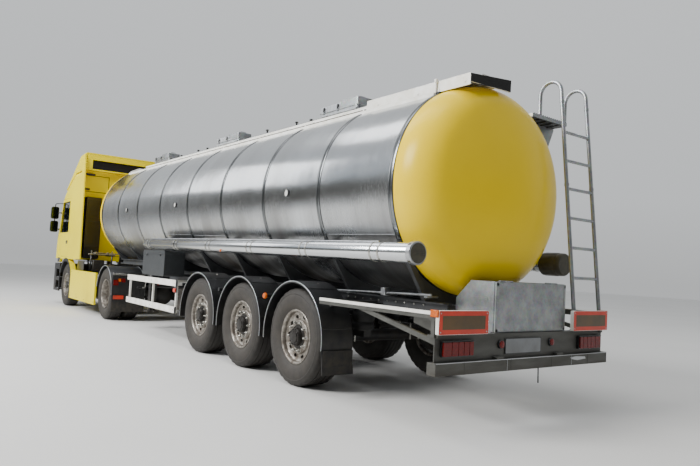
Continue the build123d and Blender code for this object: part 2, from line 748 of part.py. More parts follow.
# Tractor frame with cross members, tanks, catwalk and the coupling bracket
chassis_y = 425
chassis_low = 640
chassis_high = 910
chassis_back = x_drive - 830
chassis_front = x_nose - 300
channel_width = 85
channel_wall = 9
cab_floor = 1180                # underside of the cab
cab_back = x_steer - 980
tilt_x = x_nose - 80            # the cab tilts forward about this axis
tilt_z = cab_floor - 32
tilt_pin = 14
tilt_ear_y = 380
fuel_back = x_drive + 800
fuel_front = x_drive + 2300
with BuildPart() as tractor_frame:
    for hand in (1, -1):
        y = hand * chassis_y
        plate([(chassis_back, chassis_high), (chassis_back, chassis_low + 90),
               (chassis_back + 300, chassis_low),
               (chassis_front, chassis_low), (chassis_front, chassis_high)],
              side(y - hand * channel_wall / 2), channel_wall)
        for low in (chassis_low, chassis_high - channel_wall):
            start = chassis_back if low > chassis_low else chassis_back + 300
            bar(start, chassis_front, y, y - hand * channel_width, low, low + channel_wall)
    for x in (chassis_back + 60, x_drive + 600, x_drive + 1400, x_drive + 2300, chassis_front - 60):
        bar(x - 45, x + 45, -chassis_y, chassis_y, chassis_low + 60, chassis_high - 60)
    for hand in (1, -1):
        with BuildSketch(across(fuel_back)):
            with Locations((hand * 830, 600)):
                RectangleRounded(600, 520, 70)
        extrude(amount=fuel_front - fuel_back)
        for x in (fuel_back + 250, fuel_front - 250):
            bar(x - 40, x + 40, hand * chassis_y, hand * 560, chassis_low + 20, chassis_low + 120)
    bar(x_drive + 1300, x_drive + 2350, -chassis_y, chassis_y, chassis_high - 5, chassis_high + 20)
    bar(x_drive + 2280, x_drive + 2320, -300, 300, chassis_high, 1420)
    for hand in (1, -1):
        y = hand * chassis_y
        bar(cab_back + 60, cab_back + 160, y - 40, y + 40, chassis_high - 5, cab_floor - seat)
        plate([(chassis_front - 250, chassis_low + 60), (chassis_front, chassis_low + 60),
               (tilt_x + 20, tilt_z),
               (tilt_x + 12, tilt_z + 18), (tilt_x - 22, tilt_z + 18), (chassis_front - 250, chassis_high)],
              side(hand * (tilt_ear_y + 32)), 24)
        rod((tilt_x, hand * (tilt_ear_y - 18), tilt_z), (tilt_x, hand * (tilt_ear_y + 40), tilt_z), tilt_pin)
save(tractor_frame, "tractor_frame")

# Fifth wheel
coupling_thick = 34
with BuildPart() as fifth_wheel:
    with BuildSketch(Plane.XY.offset(coupling_height - coupling_thick)):
        with Locations((x_king, 0)):
            Circle(470)
        with BuildLine():
            Polyline((x_king - 700, 250), (x_king - 300, 440), (x_king - 300, -440), (x_king - 700, -250),
                     close=True)
        make_face()
        with BuildLine():
            Polyline((x_king, -kingpin_radius - 1), (x_king, kingpin_radius + 1), (x_king - 300, 60),
                     (x_king - 720, 190), (x_king - 720, -190), (x_king - 300, -60), close=True)
        make_face(mode=Mode.SUBTRACT)
        with Locations((x_king, 0)):
            Circle(kingpin_radius + 1, mode=Mode.SUBTRACT)
    extrude(amount=coupling_thick)
    for hand in (1, -1):
        plate([(x_king - 180, chassis_high + seat), (x_king + 180, chassis_high + seat),
               (x_king + 110, coupling_height - 20), (x_king - 110, coupling_height - 20)],
              side(hand * 380), 60)
save(fifth_wheel, "fifth_wheel")

# Engine and gearbox as one plain mass
with BuildPart() as engine:
    bar(x_steer - 850, x_steer + 650, -chassis_y + channel_width + 5, chassis_y - channel_width - 5, 560,
        1090)
    for x in (x_steer - 500, x_steer + 500):
        bar(x - 50, x + 50, -chassis_y + channel_wall + seat, chassis_y - channel_wall - seat,
            chassis_low + 60, chassis_high - 60)
save(engine, "engine")

# Drive axle and front axle beam
drive_wheel_y = tyre_face_y - tractor_tyre_width / 2 - twin_spacing / 2
front_wheel_y = tyre_face_y - tractor_tyre_width / 2
kingpin_y = 900
pivot_radius = 20
with BuildPart() as tractor_axles:
    drive_hub_y = drive_wheel_y
    rod((x_drive, -drive_hub_y + 25, tyre_radius), (x_drive, drive_hub_y - 25, tyre_radius), 85)
    rod((x_drive, -drive_hub_y - 75, tyre_radius), (x_drive, drive_hub_y + 75, tyre_radius), spindle_radius)
    with Locations((x_drive, 0, tyre_radius)):
        Sphere(235)
    for hand in (1, -1):
        rod((x_drive, hand * (drive_hub_y - 260), tyre_radius),
            (x_drive, hand * (drive_hub_y - 25), tyre_radius), drum_radius)
        y = hand * (chassis_y - 40)
        bar(x_drive - 60, x_drive + 60, y - 40, y + 40, tyre_radius, chassis_low - seat)
    beam = [(-kingpin_y, 480), (-kingpin_y + 90, 480), (-520, 400), (520, 400), (kingpin_y - 90, 480),
            (kingpin_y, 480),
            (kingpin_y, 580), (kingpin_y - 110, 580), (480, 490), (-480, 490), (-kingpin_y + 110,
                                                                                580), (-kingpin_y, 580)]
    plate(beam, across(x_steer), 100)
    for hand in (1, -1):
        rod((x_steer, hand * kingpin_y, 480), (x_steer, hand * kingpin_y, 580), 50)
        rod((x_steer, hand * kingpin_y, 470), (x_steer, hand * kingpin_y, 590), pivot_radius + running_gap,
            mode=Mode.SUBTRACT)
        bar(x_steer - 40, x_steer + 40, hand * 385 - 35, hand * 385 + 35, 480, chassis_low - seat)
save(tractor_axles, "tractor_axles")

# Steering knuckles
front_disc = 40
for hand, hand_name in ((1, "left"), (-1, "right")):
    with BuildPart() as knuckle:
        y = hand * kingpin_y
        out = hand * (front_wheel_y + front_disc)
        rod((x_steer, y, 440), (x_steer, y, 620), pivot_radius)
        for low, high in ((440, 474), (586, 620)):
            bar(x_steer - 50, x_steer + 50, y - hand * 50, y + hand * 110, low, high)
        bar(x_steer - 50, x_steer + 50, y + hand * 62, y + hand * 110, 440, 620)
        rod((x_steer, y + hand * 90, tyre_radius), (x_steer, out + hand * 40, tyre_radius), spindle_radius)
        rod((x_steer, y + hand * 80, tyre_radius), (x_steer, out - hand * 5, tyre_radius), drum_radius)
    save(knuckle, f"knuckle_{hand_name}")

# Tractor wheels
for hand, hand_name in ((1, "left"), (-1, "right")):
    make_tyre(f"tyre_front_{hand_name}", x_steer, [front_wheel_y], hand, tractor_tyre_width, tractor_half_rim)
    make_rim(f"rim_front_{hand_name}", x_steer, front_wheel_y, hand, tractor_half_rim, front_disc, 110)
    twins = [drive_wheel_y - twin_spacing / 2, drive_wheel_y + twin_spacing / 2]
    make_tyre(f"tyres_drive_{hand_name}", x_drive, twins, hand, tractor_tyre_width, tractor_half_rim)
    with BuildPart() as rim:
        for middle, way in ((twins[0], 1), (twins[1], -1)):
            with BuildSketch(wheel_plane(x_drive, hand * middle, tyre_radius, hand)):
                with BuildLine():
                    twin_outline(way)
                make_face()
            revolve(axis=Axis((x_drive, 0, tyre_radius), (0, 1, 0)))
        for start, end, radius in ((10, 90, 150), (80, 125, 105)):
            rod((x_drive, hand * (drive_wheel_y + start), tyre_radius),
                (x_drive, hand * (drive_wheel_y + end), tyre_radius), radius)
        rod((x_drive, hand * (drive_wheel_y - 30), tyre_radius),
            (x_drive, hand * (drive_wheel_y + 80), tyre_radius),
            spindle_radius + running_gap, mode=Mode.SUBTRACT)
    save(rim, f"rims_drive_{hand_name}")

# Drive mudguards
with BuildPart() as drive_fenders:
    for hand in (1, -1):
        near = 560
        far = guard_outer_y - 10
        with BuildSketch(side(hand * far)):
            with BuildLine():
                arc = CenterArc((x_drive, tyre_radius), 580, 10, 172)
                low = CenterArc((x_drive, tyre_radius), 570, 10, 172)
                Line(arc @ 0, low @ 0)
                Line(arc @ 1, low @ 1)
            make_face()
        extrude(amount=hand * (far - near))
        for dx in (-565, 565):
            bar(x_drive + dx - 20, x_drive + dx + 20, hand * (chassis_y + seat), hand * (far - 200), 700, 740)
save(drive_fenders, "drive_fenders")

# Yellow skirts between the wheels
skirt_back = x_drive + 650
skirt_front = x_steer - 620
with BuildPart() as side_skirts:
    for hand in (1, -1):
        with BuildSketch(side(hand * half_width)):
            with BuildLine():
                Polyline((skirt_back, 240), (skirt_front, 240), (skirt_front, 930), (skirt_back, 930),
                         close=True)
            make_face()
        extrude(amount=hand * 40)
        for x in (fuel_back + 400, fuel_front - 400):
            bar(x - 30, x + 30, hand * (half_width - 35), hand * (1130 + seat), 560, 640)
save(side_skirts, "side_skirts")

# Cab: floor, back wall, sides, roof and front round the windscreen
cab_front = x_nose - 50
cab_wall = 60
roof_back_height = 3380
front_corner = 120              # rounding of the cab and bumper in plan
grille_half = 780
grille_low = 1240
grille_high = 1690
grille_deep = 34
grille_slats = 6
grille_slat = 34
hinge_heights = (1350, 1780)
barrel_radius = 13
screen_low = (cab_front - 40, 1800)
screen_high = (cab_front - 420, 2760)
brow_height = screen_high[1] + 200
cab_profile = [(cab_back, cab_floor), (cab_back, roof_back_height), (cab_back + 700, roof_back_height - 20),
               (screen_high[0] - 250, brow_height), screen_high, screen_low, (cab_front, 1500), (cab_front,
                                                                                                 cab_floor)]
cab_inside = [(cab_back + cab_wall, cab_floor + cab_wall), (cab_back + cab_wall, roof_back_height - cab_wall),
              (cab_back + 680, roof_back_height - 20 - cab_wall), (screen_high[0] - 280,
                                                                   brow_height - cab_wall),
              (screen_high[0] - 60, screen_high[1] - 20), (screen_low[0] - 60, 1800),
              (cab_front - cab_wall, 1480), (cab_front - cab_wall, cab_floor + cab_wall)]
door_front = x_steer + 990
door_back = x_steer - 80
hinge_x = door_front + door_gap / 2
door_outline = [(door_back, 1240), (door_front - 350, 1240), (door_front - 270, 1085), (door_front, 1085),
                (door_front, 1900), (door_front - 200, 2740), (door_back, 2740)]
window_outline = [(door_back + 90, 1870), (door_front - 75, 1870), (door_front - 250, 2660),
                  (door_back + 90, 2660)]


def grown(points, gap):
    """Outline of the door's opening: the door's own outline pushed out by a gap."""
    with BuildSketch() as opening:
        with BuildLine():
            Polyline(*points, close=True)
        make_face()
        offset(amount=gap, kind=Kind.INTERSECTION)
    return opening.sketch


def rounded_plan(x0, x1, half, corner):
    """Plan of the bumper with its front corners rounded."""
    with BuildSketch() as plan:
        with Locations(((x0 + x1) / 2, 0)):
            Rectangle(x1 - x0, 2 * half)
        fillet(plan.vertices().sort_by(Axis.X)[-2:], corner)
    return plan.sketch


def cab_block(profile, half, corner):
    """Side profile across the cab's width, rounded along its front and roof edges."""
    with BuildPart() as block:
        plate(profile, side(0), 2 * half)
        rims = block.edges().filter_by(lambda e: abs(abs(e.center().Y) - half) < 1)
        floor_height = min(z for x, z in profile)
        back = min(x for x, z in profile)
        fillet(rims.filter_by(lambda e: e.center().Z > floor_height + 1 and e.center().X > back + 1), corner)
    return block.part


screen_along = Vector(screen_high[0] - screen_low[0], 0, screen_high[1] - screen_low[1])
screen_centre = Vector((screen_high[0] + screen_low[0]) / 2, 0, (screen_high[1] + screen_low[1]) / 2)
screen_plane = Plane(origin=screen_centre, x_dir=(0, 1, 0), z_dir=Vector(0, 1, 0).cross(screen_along))
screen_width = 2080
screen_height = screen_along.length - 110
cab_outer = cab_block(cab_profile, half_width, front_corner)
cab_room = cab_block(cab_inside, half_width - cab_wall, front_corner - cab_wall)
arch_inner = tyre_radius + 70
arch_outer = cab_floor - tyre_radius + 20
visor_half = 1000
with BuildPart() as cab_shell:
    add(cab_outer)
    add(cab_room, mode=Mode.SUBTRACT)
    bar(cab_front - grille_deep, cab_front + 1, -grille_half, grille_half, grille_low, grille_high,
        mode=Mode.SUBTRACT)
    for i in range(grille_slats):
        low = grille_low + (i + 0.5) * (grille_high - grille_low) / grille_slats - grille_slat / 2
        bar(cab_front - grille_deep - 5, cab_front - 6, -grille_half - 5, grille_half + 5, low,
            low + grille_slat)
    plate([(screen_high[0] - 30, screen_high[1] + 15), (screen_high[0] - 30, screen_high[1] + 40),
           (screen_high[0] + 190, screen_high[1] - 10), (screen_high[0] + 190, screen_high[1] - 40)],
          side(0), 2 * visor_half)
    for hand in (1, -1):
        with BuildSketch(side(hand * (half_width - 130))):
            with BuildLine():
                high = CenterArc((x_steer, tyre_radius), arch_outer, 28, 124)
                low = CenterArc((x_steer, tyre_radius), arch_inner, 28, 124)
                Line(high @ 0, low @ 0)
                Line(high @ 1, low @ 1)
            make_face()
        extrude(amount=-hand * 130)
    for hand in (1, -1):
        with BuildSketch(side(hand * (half_width + 10))):
            add(grown(door_outline, door_gap))
        extrude(amount=hand * (cab_wall + 15), mode=Mode.SUBTRACT)
    with BuildSketch(screen_plane):
        RectangleRounded(screen_width, screen_height, 80)
    extrude(amount=150, both=True, mode=Mode.SUBTRACT)
    for hand in (1, -1):
        hinge_y = hand * half_width
        for z in hinge_heights:
            rod((hinge_x, hinge_y, z - 31), (hinge_x, hinge_y, z + 31), barrel_radius + 3, mode=Mode.SUBTRACT)
            rod((hinge_x, hinge_y, z + 30 + seat), (hinge_x, hinge_y, z + 60), barrel_radius)
            rod((hinge_x, hinge_y, z - 30 - seat), (hinge_x, hinge_y, z - 60), barrel_radius)
        ear_y = hand * tilt_ear_y
        plate([(tilt_x - 40, cab_floor + 1), (tilt_x - 18, tilt_z - 18), (tilt_x + 18, tilt_z - 18),
               (tilt_x + 20, cab_floor + 1)], side(ear_y), 30)
        rod((tilt_x, ear_y - 20, tilt_z), (tilt_x, ear_y + 20, tilt_z), tilt_pin + running_gap,
            mode=Mode.SUBTRACT)
save(cab_shell, "cab_shell")
with BuildPart() as windscreen:
    with BuildSketch(screen_plane):
        RectangleRounded(screen_width - 2 * seat, screen_height - 2 * seat, 80 - seat)
    extrude(amount=-12)
save(windscreen, "windscreen")

# Doors
for hand, hand_name in ((1, "left"), (-1, "right")):
    with BuildPart() as door:
        with BuildSketch(side(hand * half_width)):
            with BuildLine():
                Polyline(*door_outline, close=True)
            make_face()
            with BuildLine():
                Polyline(*window_outline, close=True)
            make_face(mode=Mode.SUBTRACT)
        extrude(amount=hand * cab_wall)
        hinge_y = hand * half_width
        for z in hinge_heights:
            rod((hinge_x, hinge_y, z + 30), (hinge_x, hinge_y, z + 62), barrel_radius + 3, mode=Mode.SUBTRACT)
            rod((hinge_x, hinge_y, z - 30), (hinge_x, hinge_y, z - 62), barrel_radius + 3, mode=Mode.SUBTRACT)
            rod((hinge_x, hinge_y, z - 30), (hinge_x, hinge_y, z + 30), barrel_radius)
    save(door, f"door_{hand_name}")

# Roof and side air deflectors
deflector_back = cab_back - 180
deflector_rise = 420            # above the roof's rear edge
deflector_top = roof_back_height + deflector_rise
deflector_skin = 30
deflector_corner = 50
side_fin = 400                  # reach of the side fairings behind the cab
fin_low = cab_floor + 20
roof = roof_back_height
hood_half = half_width - 20
hood_profile = [(deflector_back, roof + seat), (deflector_back, deflector_top),
                (deflector_back + 500, deflector_top - 60),
                (screen_high[0] - 250, brow_height + 30), (cab_back + 700, roof - 20 + seat),
                (cab_back, roof + seat)]
hood_hollow = [(deflector_back - 1, roof + 30), (deflector_back - 1, deflector_top - deflector_skin),
               (deflector_back + 490, deflector_top - 60 - deflector_skin), (cab_back + 900, roof + 20),
               (cab_back, roof + 30)]


def hood_block(profile, half, top, corner):
    """Side profile across the roof, rounded over its upper edges."""
    with BuildPart() as block:
        plate(profile, side(0), 2 * half)
        with BuildSketch(across(deflector_back - 10)) as section:
            with Locations((0, top - 1000)):
                Rectangle(2 * half, 2000)
            fillet(section.vertices().sort_by(Axis.Y)[-2:], corner)
        extrude(section.sketch, amount=3000, mode=Mode.INTERSECT)
    return block.part


hood_outer = hood_block(hood_profile, hood_half, deflector_top, deflector_corner)
hood_inner = hood_block(hood_hollow, hood_half - deflector_skin, deflector_top - deflector_skin,
                        deflector_corner - deflector_skin)
with BuildPart() as air_deflectors:
    add(hood_outer)
    add(hood_inner, mode=Mode.SUBTRACT)
    for hand in (1, -1):
        with BuildSketch(side(hand * half_width)):
            with BuildLine():
                Polyline((cab_back - seat, fin_low), (cab_back - side_fin, fin_low),
                         (cab_back - side_fin + 150, roof + 120),
                         (deflector_back, deflector_top - deflector_corner),
                         (cab_back, deflector_top - deflector_corner),
                         (cab_back, roof + seat), (cab_back - seat, roof), close=True)
            make_face()
        extrude(amount=hand * deflector_skin)
save(air_deflectors, "air_deflectors")

# Intake stack behind the cab
with BuildPart() as intake_stack:
    bar(cab_back - 200, cab_back - seat, half_width - 465, half_width - 125, cab_floor + 40, 2720)
save(intake_stack, "intake_stack")

# Seats and dashboard
with BuildPart() as seats:
    for y in (620, -620):
        bar(x_steer - 250, x_steer + 250, y - 250, y + 250, cab_floor + cab_wall + seat, cab_floor + 480)
        bar(x_steer - 330, x_steer - 180, y - 250, y + 250, cab_floor + 400, cab_floor + 1150)
save(seats, "seats")
with BuildPart() as dashboard:
    bar(cab_front - 480, cab_front - 200, -half_width + cab_wall + 10, half_width - cab_wall - 10, 1500, 1790)
    bar(cab_front - 460, cab_front - 200, -400, 400, cab_floor + cab_wall + seat, 1510)
    wheel_at = Plane(origin=(cab_front - 560, 620, 1820), z_dir=(-0.6, 0, 0.8))
    rod((cab_front - 420, 620, 1640), (cab_front - 560, 620, 1820), 25)
    with BuildSketch(Plane(origin=wheel_at.origin + wheel_at.x_dir * 215, x_dir=wheel_at.x_dir,
                           z_dir=wheel_at.y_dir)):
        Circle(16)
    revolve(axis=Axis(wheel_at.origin, wheel_at.z_dir))
    with BuildSketch(wheel_at):
        Rectangle(430, 50)
    extrude(amount=12, both=True)
save(dashboard, "dashboard")

# Mirrors on the front pillars
mirror_x = door_front + 60
mirror_inner = half_width + 45
mirror_outer = half_width + 235
mirror_deep = 95
mirror_heads = ((1880, 2180), (2230, 2560))
mirror_feet = ((mirror_x + 20, 1960), (hinge_x - 80, 2395))  # pillar brackets: x, height
foot_deep = 30
arm_radius = 14
with BuildPart() as mirrors:
    for hand in (1, -1):
        head_y = hand * (mirror_inner + 20)
        for (low, high), (foot_x, foot_z) in zip(mirror_heads, mirror_feet):
            bar(mirror_x, mirror_x + mirror_deep, hand * mirror_inner, hand * mirror_outer, low, high)
            bar(foot_x - 12, foot_x + 12, hand * (half_width + seat), hand * (half_width + foot_deep),
                foot_z - 20, foot_z + 20)
            rod((foot_x, hand * (half_width + foot_deep - 12), foot_z), (mirror_x + 45, head_y, foot_z),
                arm_radius)
        link_y = hand * (mirror_inner + 90)
        rod((mirror_x + 45, link_y, mirror_heads[0][1] - 10),
            (mirror_x + 45, link_y, mirror_heads[1][0] + 10), arm_radius)
save(mirrors, "mirrors")

# Bumper with its lower grille, step wells and tow bore
bumper_top = 1055
bumper_bottom = 330
bumper_skin = 34
bumper_back = x_steer + 640
tow_y = 310
tow_z = 540
tow_radius = 22
tow_block = 100
lamp_box = (600, 1040, 660, 840)  # near, far, low, high
lamp_deep = 26
vent_half = 520
vent_low = 640
vent_high = 950
vent_slats = 4
vent_slat = 30
step_back = bumper_back + 40
step_front = bumper_back + 400
step_wells = ((400, 600), (690, 900))  # low, high
with BuildPart() as front_bumper:
    with BuildSketch(Plane.XY.offset(bumper_bottom)):
        add(rounded_plan(bumper_back, x_nose, half_width, front_corner))
        add(rounded_plan(bumper_back - 1, x_nose - bumper_skin, half_width - bumper_skin,
                         front_corner - bumper_skin),
            mode=Mode.SUBTRACT)
    extrude(amount=bumper_top - bumper_bottom)
    bar(x_nose - bumper_skin - 1, x_nose + 1, -vent_half, vent_half, vent_low, vent_high, mode=Mode.SUBTRACT)
    for i in range(vent_slats):
        low = vent_low + (i + 0.5) * (vent_high - vent_low) / vent_slats - vent_slat / 2
        bar(x_nose - bumper_skin + 4, x_nose - 8, -vent_half - 5, vent_half + 5, low, low + vent_slat)
    for hand in (1, -1):
        for low, high in step_wells:
            bar(step_back, step_front, hand * (half_width + 1), hand * (half_width - bumper_skin - 1), low,
                high,
                mode=Mode.SUBTRACT)
            bar(step_back - 20, step_front + 20, hand * (half_width - 8), hand * (half_width - 260),
                low - 30, low)
        plate([(chassis_front - 200, 660), (chassis_front - 200, 780), (chassis_front, 780),
               (x_nose - 30, 620),
               (x_nose - 30, 480), (chassis_front, 660)], side(hand * (chassis_y + seat + 12)), 24)
        near, far, low, high = lamp_box
        bar(x_nose - lamp_deep, x_nose + 1, hand * near, hand * far, low, high, mode=Mode.SUBTRACT)
    bar(x_nose - bumper_skin - tow_block, x_nose - 30, tow_y - 60, tow_y + 60, tow_z - 60, tow_z + 60)
    rod((x_nose - bumper_skin - tow_block - 1, tow_y, tow_z), (x_nose + 1, tow_y, tow_z), tow_radius,
        mode=Mode.SUBTRACT)
save(front_bumper, "front_bumper")

# Tractor lamps: head lamps and tail lamps
with BuildPart() as tractor_lamps:
    for hand in (1, -1):
        near, far, low, high = lamp_box
        bar(x_nose - lamp_deep + seat, x_nose - 3, hand * (near + seat), hand * (far - seat), low + seat,
            high - seat)
        bar(chassis_back - 40, chassis_back - seat, hand * 380, hand * 425, 720, 860)
save(tractor_lamps, "tractor_lamps")

print("nodes", len(finished))
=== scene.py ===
"""Articulated tanker truck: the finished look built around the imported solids.

Metres; +X forward, +Y left, +Z up, origin on the road under the middle of the vehicle.
The file is laid out as an add-on and is run as a script.
"""

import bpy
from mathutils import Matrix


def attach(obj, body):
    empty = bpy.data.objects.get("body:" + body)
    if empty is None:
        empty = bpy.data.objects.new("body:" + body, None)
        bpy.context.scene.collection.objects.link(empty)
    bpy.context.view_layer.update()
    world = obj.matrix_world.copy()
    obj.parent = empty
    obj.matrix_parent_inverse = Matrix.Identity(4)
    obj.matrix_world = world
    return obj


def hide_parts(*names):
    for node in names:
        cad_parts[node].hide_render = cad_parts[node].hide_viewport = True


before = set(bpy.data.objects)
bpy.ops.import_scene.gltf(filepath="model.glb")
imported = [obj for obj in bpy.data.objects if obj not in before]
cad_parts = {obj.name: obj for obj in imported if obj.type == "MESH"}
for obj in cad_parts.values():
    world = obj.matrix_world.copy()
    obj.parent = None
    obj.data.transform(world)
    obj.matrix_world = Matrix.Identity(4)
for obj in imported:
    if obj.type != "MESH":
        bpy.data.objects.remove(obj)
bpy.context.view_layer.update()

import math

import bmesh
import bpy
from bpy.props import FloatProperty, FloatVectorProperty, IntProperty, PointerProperty
from mathutils import Matrix, Vector

bl_info = {
    "name": "Tanker truck",
    "version": (1, 0, 0),
    "blender": (4, 5, 0),
    "location": "3D View > Sidebar > Tanker",
    "description": "Builds the finished look of an articulated tanker truck",
    "category": "Object",
}

# Places of the solids, in metres
X_TAIL = -7.36
X_NOSE = 7.36
X_REAR_AXLE = X_TAIL + 2.24
AXLE_SPACING = 1.31
AXLES = [X_REAR_AXLE + number * AXLE_SPACING for number in range(3)]
X_KING = X_REAR_AXLE + 8.05
X_DRIVE = X_KING - 0.55
X_STEER = X_DRIVE + 3.6
WHEEL_Z = 0.53
TYRE_FACE = 1.215
TRAILER_TYRE = 0.37
TRACTOR_TYRE = 0.29
TWIN_SPACING = 0.335
TANK_R = 1.075
TANK_SLOPE = math.atan(0.0137)
BAY = 1.2615
BAYS = 8
BARREL = BAY * BAYS
SEAM_X = X_REAR_AXLE - 1.398
SEAM_Z = 2.178 - 0.0137 * 1.398
BAND_HALF = 0.03
BAND_RISE = 0.006
RAIL_Y = 0.5
BOARD_Y = 1.228
QUARTER = math.pi / 2
HANDS = (1, -1)                 # left, right
SIDES = ((1, "left"), (-1, "right"))

TANK = Matrix.Translation((SEAM_X, 0, SEAM_Z)) @ Matrix.Rotation(-TANK_SLOPE, 4, "Y")

# Bolt heads: radius, height of the flats, height and radius of the top, sides
DISC_BOLT = (0.0085, 0.008, 0.01, 0.006, 6)
HUB_BOLT = (0.009, 0.01, 0.012, 0.006, 6)
CLIP_BOLT = (0.008, 0.005, 0.007, 0.004, 6)
STAY_BOLT = (0.014, 0.006, 0.009, 0.009, 6)
FLAP_SCREW = (0.011, 0.005, 0.008, 0.006, 8)
RAIL_BOLT = (0.011, 0.008, 0.01, 0.007, 6)
LEG_BOLT = (0.01, 0.006, 0.008, 0.006, 6)
FRAME_BOLT = (0.012, 0.008, 0.01, 0.007, 6)
COUPLING_BOLT = (0.02, 0.014, 0.018, 0.012, 6)

# Sockets of a Mix node set to colours
FACTOR, COLOUR_A, COLOUR_B, MIXED = 0, 6, 7, 2


def hex_colour(code):
    """Linear colour with alpha 1 from an sRGB hex code."""
    parts = [int(code[i:i + 2], 16) / 255 for i in (1, 3, 5)]
    return tuple(c / 12.92 if c <= 0.04045 else ((c + 0.055) / 1.055) ** 2.4 for c in parts) + (1.0,)


def colour_setting(label, told, code):
    """A colour a user would change."""
    return FloatVectorProperty(name=label, description=told, subtype="COLOR", size=4, min=0, max=1,
                               default=hex_colour(code))


class TankerColours(bpy.types.PropertyGroup):
    """Colours a user would change."""

    tank_end: colour_setting("Tank end", "Enamel of the tank's dished ends", "#F8D400")
    cab: colour_setting("Cab", "Paint of the cab, skirts and deflectors", "#F2E000")
    rails: colour_setting("Rails", "Paint of the side guards and walkway edges", "#FAF9F4")
    # The board centre's dark brown is painted shade over the amber sheet on the tail's rear face
    board: colour_setting("Board centre", "Reflective centre of the marker boards", "#5E4314")
    floor: colour_setting("Floor", "Studio floor", "#D9D8D5")


class TankerSizes(bpy.types.PropertyGroup):
    """Sizes and counts a user would change."""

    tread_depth: FloatProperty(name="Tread depth", description="Depth of the tyre grooves",
                               default=0.009, min=0.002, max=0.015, unit="LENGTH")
    wheel_nuts: IntProperty(name="Wheel nuts", description="Nuts on each wheel", default=10, min=6, max=12)
    grating_step: FloatProperty(name="Grating step", description="Distance between grating bars",
                                default=0.045, min=0.02, max=0.2, unit="LENGTH")
    rivet_step: FloatProperty(name="Rivet step", description="Distance between rivets in a row",
                              default=0.06, min=0.02, max=0.3, unit="LENGTH")
    trim_radius: FloatProperty(name="Mudguard trim",
                               description="Radius of the bright strip on the mudguards", default=0.006,
                               min=0.002, max=0.01, unit="LENGTH")


# Places


def side_at(y):
    """Plane along the vehicle at y: local x forward, y up, depth to the right."""
    return Matrix(((1, 0, 0, 0), (0, 0, -1, y), (0, 1, 0, 0), (0, 0, 0, 1)))


def across_at(x):
    """Plane across the vehicle at x: local x left, y up, depth forward."""
    return Matrix(((0, 0, 1, x), (1, 0, 0, 0), (0, 1, 0, 0), (0, 0, 0, 1)))


def wheel_at(x, y, hand):
    """Place of a wheel whose local X axis points outboard."""
    return Matrix(((0, -hand, 0, x), (hand, 0, 0, y), (0, 0, 1, WHEEL_Z), (0, 0, 0, 1)))


def along_x(distance):
    """A shift along the local X axis."""
    return Matrix.Translation((distance, 0, 0))


def facing_back(x, y, z):
    """Place whose local X axis points to the rear."""
    return Matrix(((-1, 0, 0, x), (0, -1, 0, y), (0, 0, 1, z), (0, 0, 0, 1)))


def facing_up(x, y, z):
    """Place whose local X axis points up."""
    return Matrix.Translation((x, y, z)) @ Matrix.Rotation(-QUARTER, 4, "Y")


def facing_side(x, y, z, hand):
    """Place whose local X axis points outboard."""
    return Matrix.Translation((x, y, z)) @ Matrix.Rotation(hand * QUARTER, 4, "Z")


def span(hand, near, far):
    """Both ends of a stretch across one side of the vehicle, the lower y first."""
    return sorted((hand * near, hand * far))


# Outlines and lines


def rounded(x0, x1, y0, y1, radius, steps=4):
    """Outline of a rectangle with round corners."""
    points = []
    for cx, cy, start in ((x1 - radius, y1 - radius, 0), (x0 + radius, y1 - radius, 1),
                          (x0 + radius, y0 + radius, 2), (x1 - radius, y0 + radius, 3)):
        for k in range(steps + 1):
            turn = QUARTER * (start + k / steps)
            points.append((cx + radius * math.cos(turn), cy + radius * math.sin(turn)))
    return points


def bent(corners, radius, steps=5):
    """A line of points with its corners rounded."""
    corners = [Vector(c) for c in corners]
    line = [corners[0]]
    for before, here, after in zip(corners, corners[1:], corners[2:]):
        back, ahead = before - here, after - here
        reach = min(radius, back.length / 2.1, ahead.length / 2.1)
        a, b = here + back.normalized() * reach, here + ahead.normalized() * reach
        for k in range(steps + 1):
            t = k / steps
            line.append(a * (1 - t) ** 2 + here * 2 * t * (1 - t) + b * t ** 2)
    line.append(corners[-1])
    return line


def arc(x, z, radius, start, end, steps=28):
    """Points (x, z) of an arc along the vehicle; angles in degrees from forward."""
    turns = [math.radians(start + (end - start) * k / steps) for k in range(steps + 1)]
    return [(x + radius * math.cos(turn), z + radius * math.sin(turn)) for turn in turns]


def arc_band(x, z, outer, inner, start, end, steps):
    """Outline between two arcs round the same centre."""
    return arc(x, z, outer, start, end, steps) + arc(x, z, inner, end, start, steps)


def inset(outline, gap):
    """A convex outline moved inwards by a gap; the points run against the clock."""
    points = [Vector(p) for p in outline]
    moved = []
    for i, p in enumerate(points):
        a = (p - points[i - 1]).normalized()
        b = (points[(i + 1) % len(points)] - p).normalized()
        inward = Vector((-a.y, a.x)) + Vector((-b.y, b.x))
        moved.append(p + inward * gap / (1 + a.dot(b)))
    return [tuple(p) for p in moved]


# Shapes


def soften(mesh, angle=40):
    """Smooth shading with edges over an angle in degrees kept sharp."""
    mesh.shade_smooth()
    mesh.set_sharp_from_angle(angle=math.radians(angle))


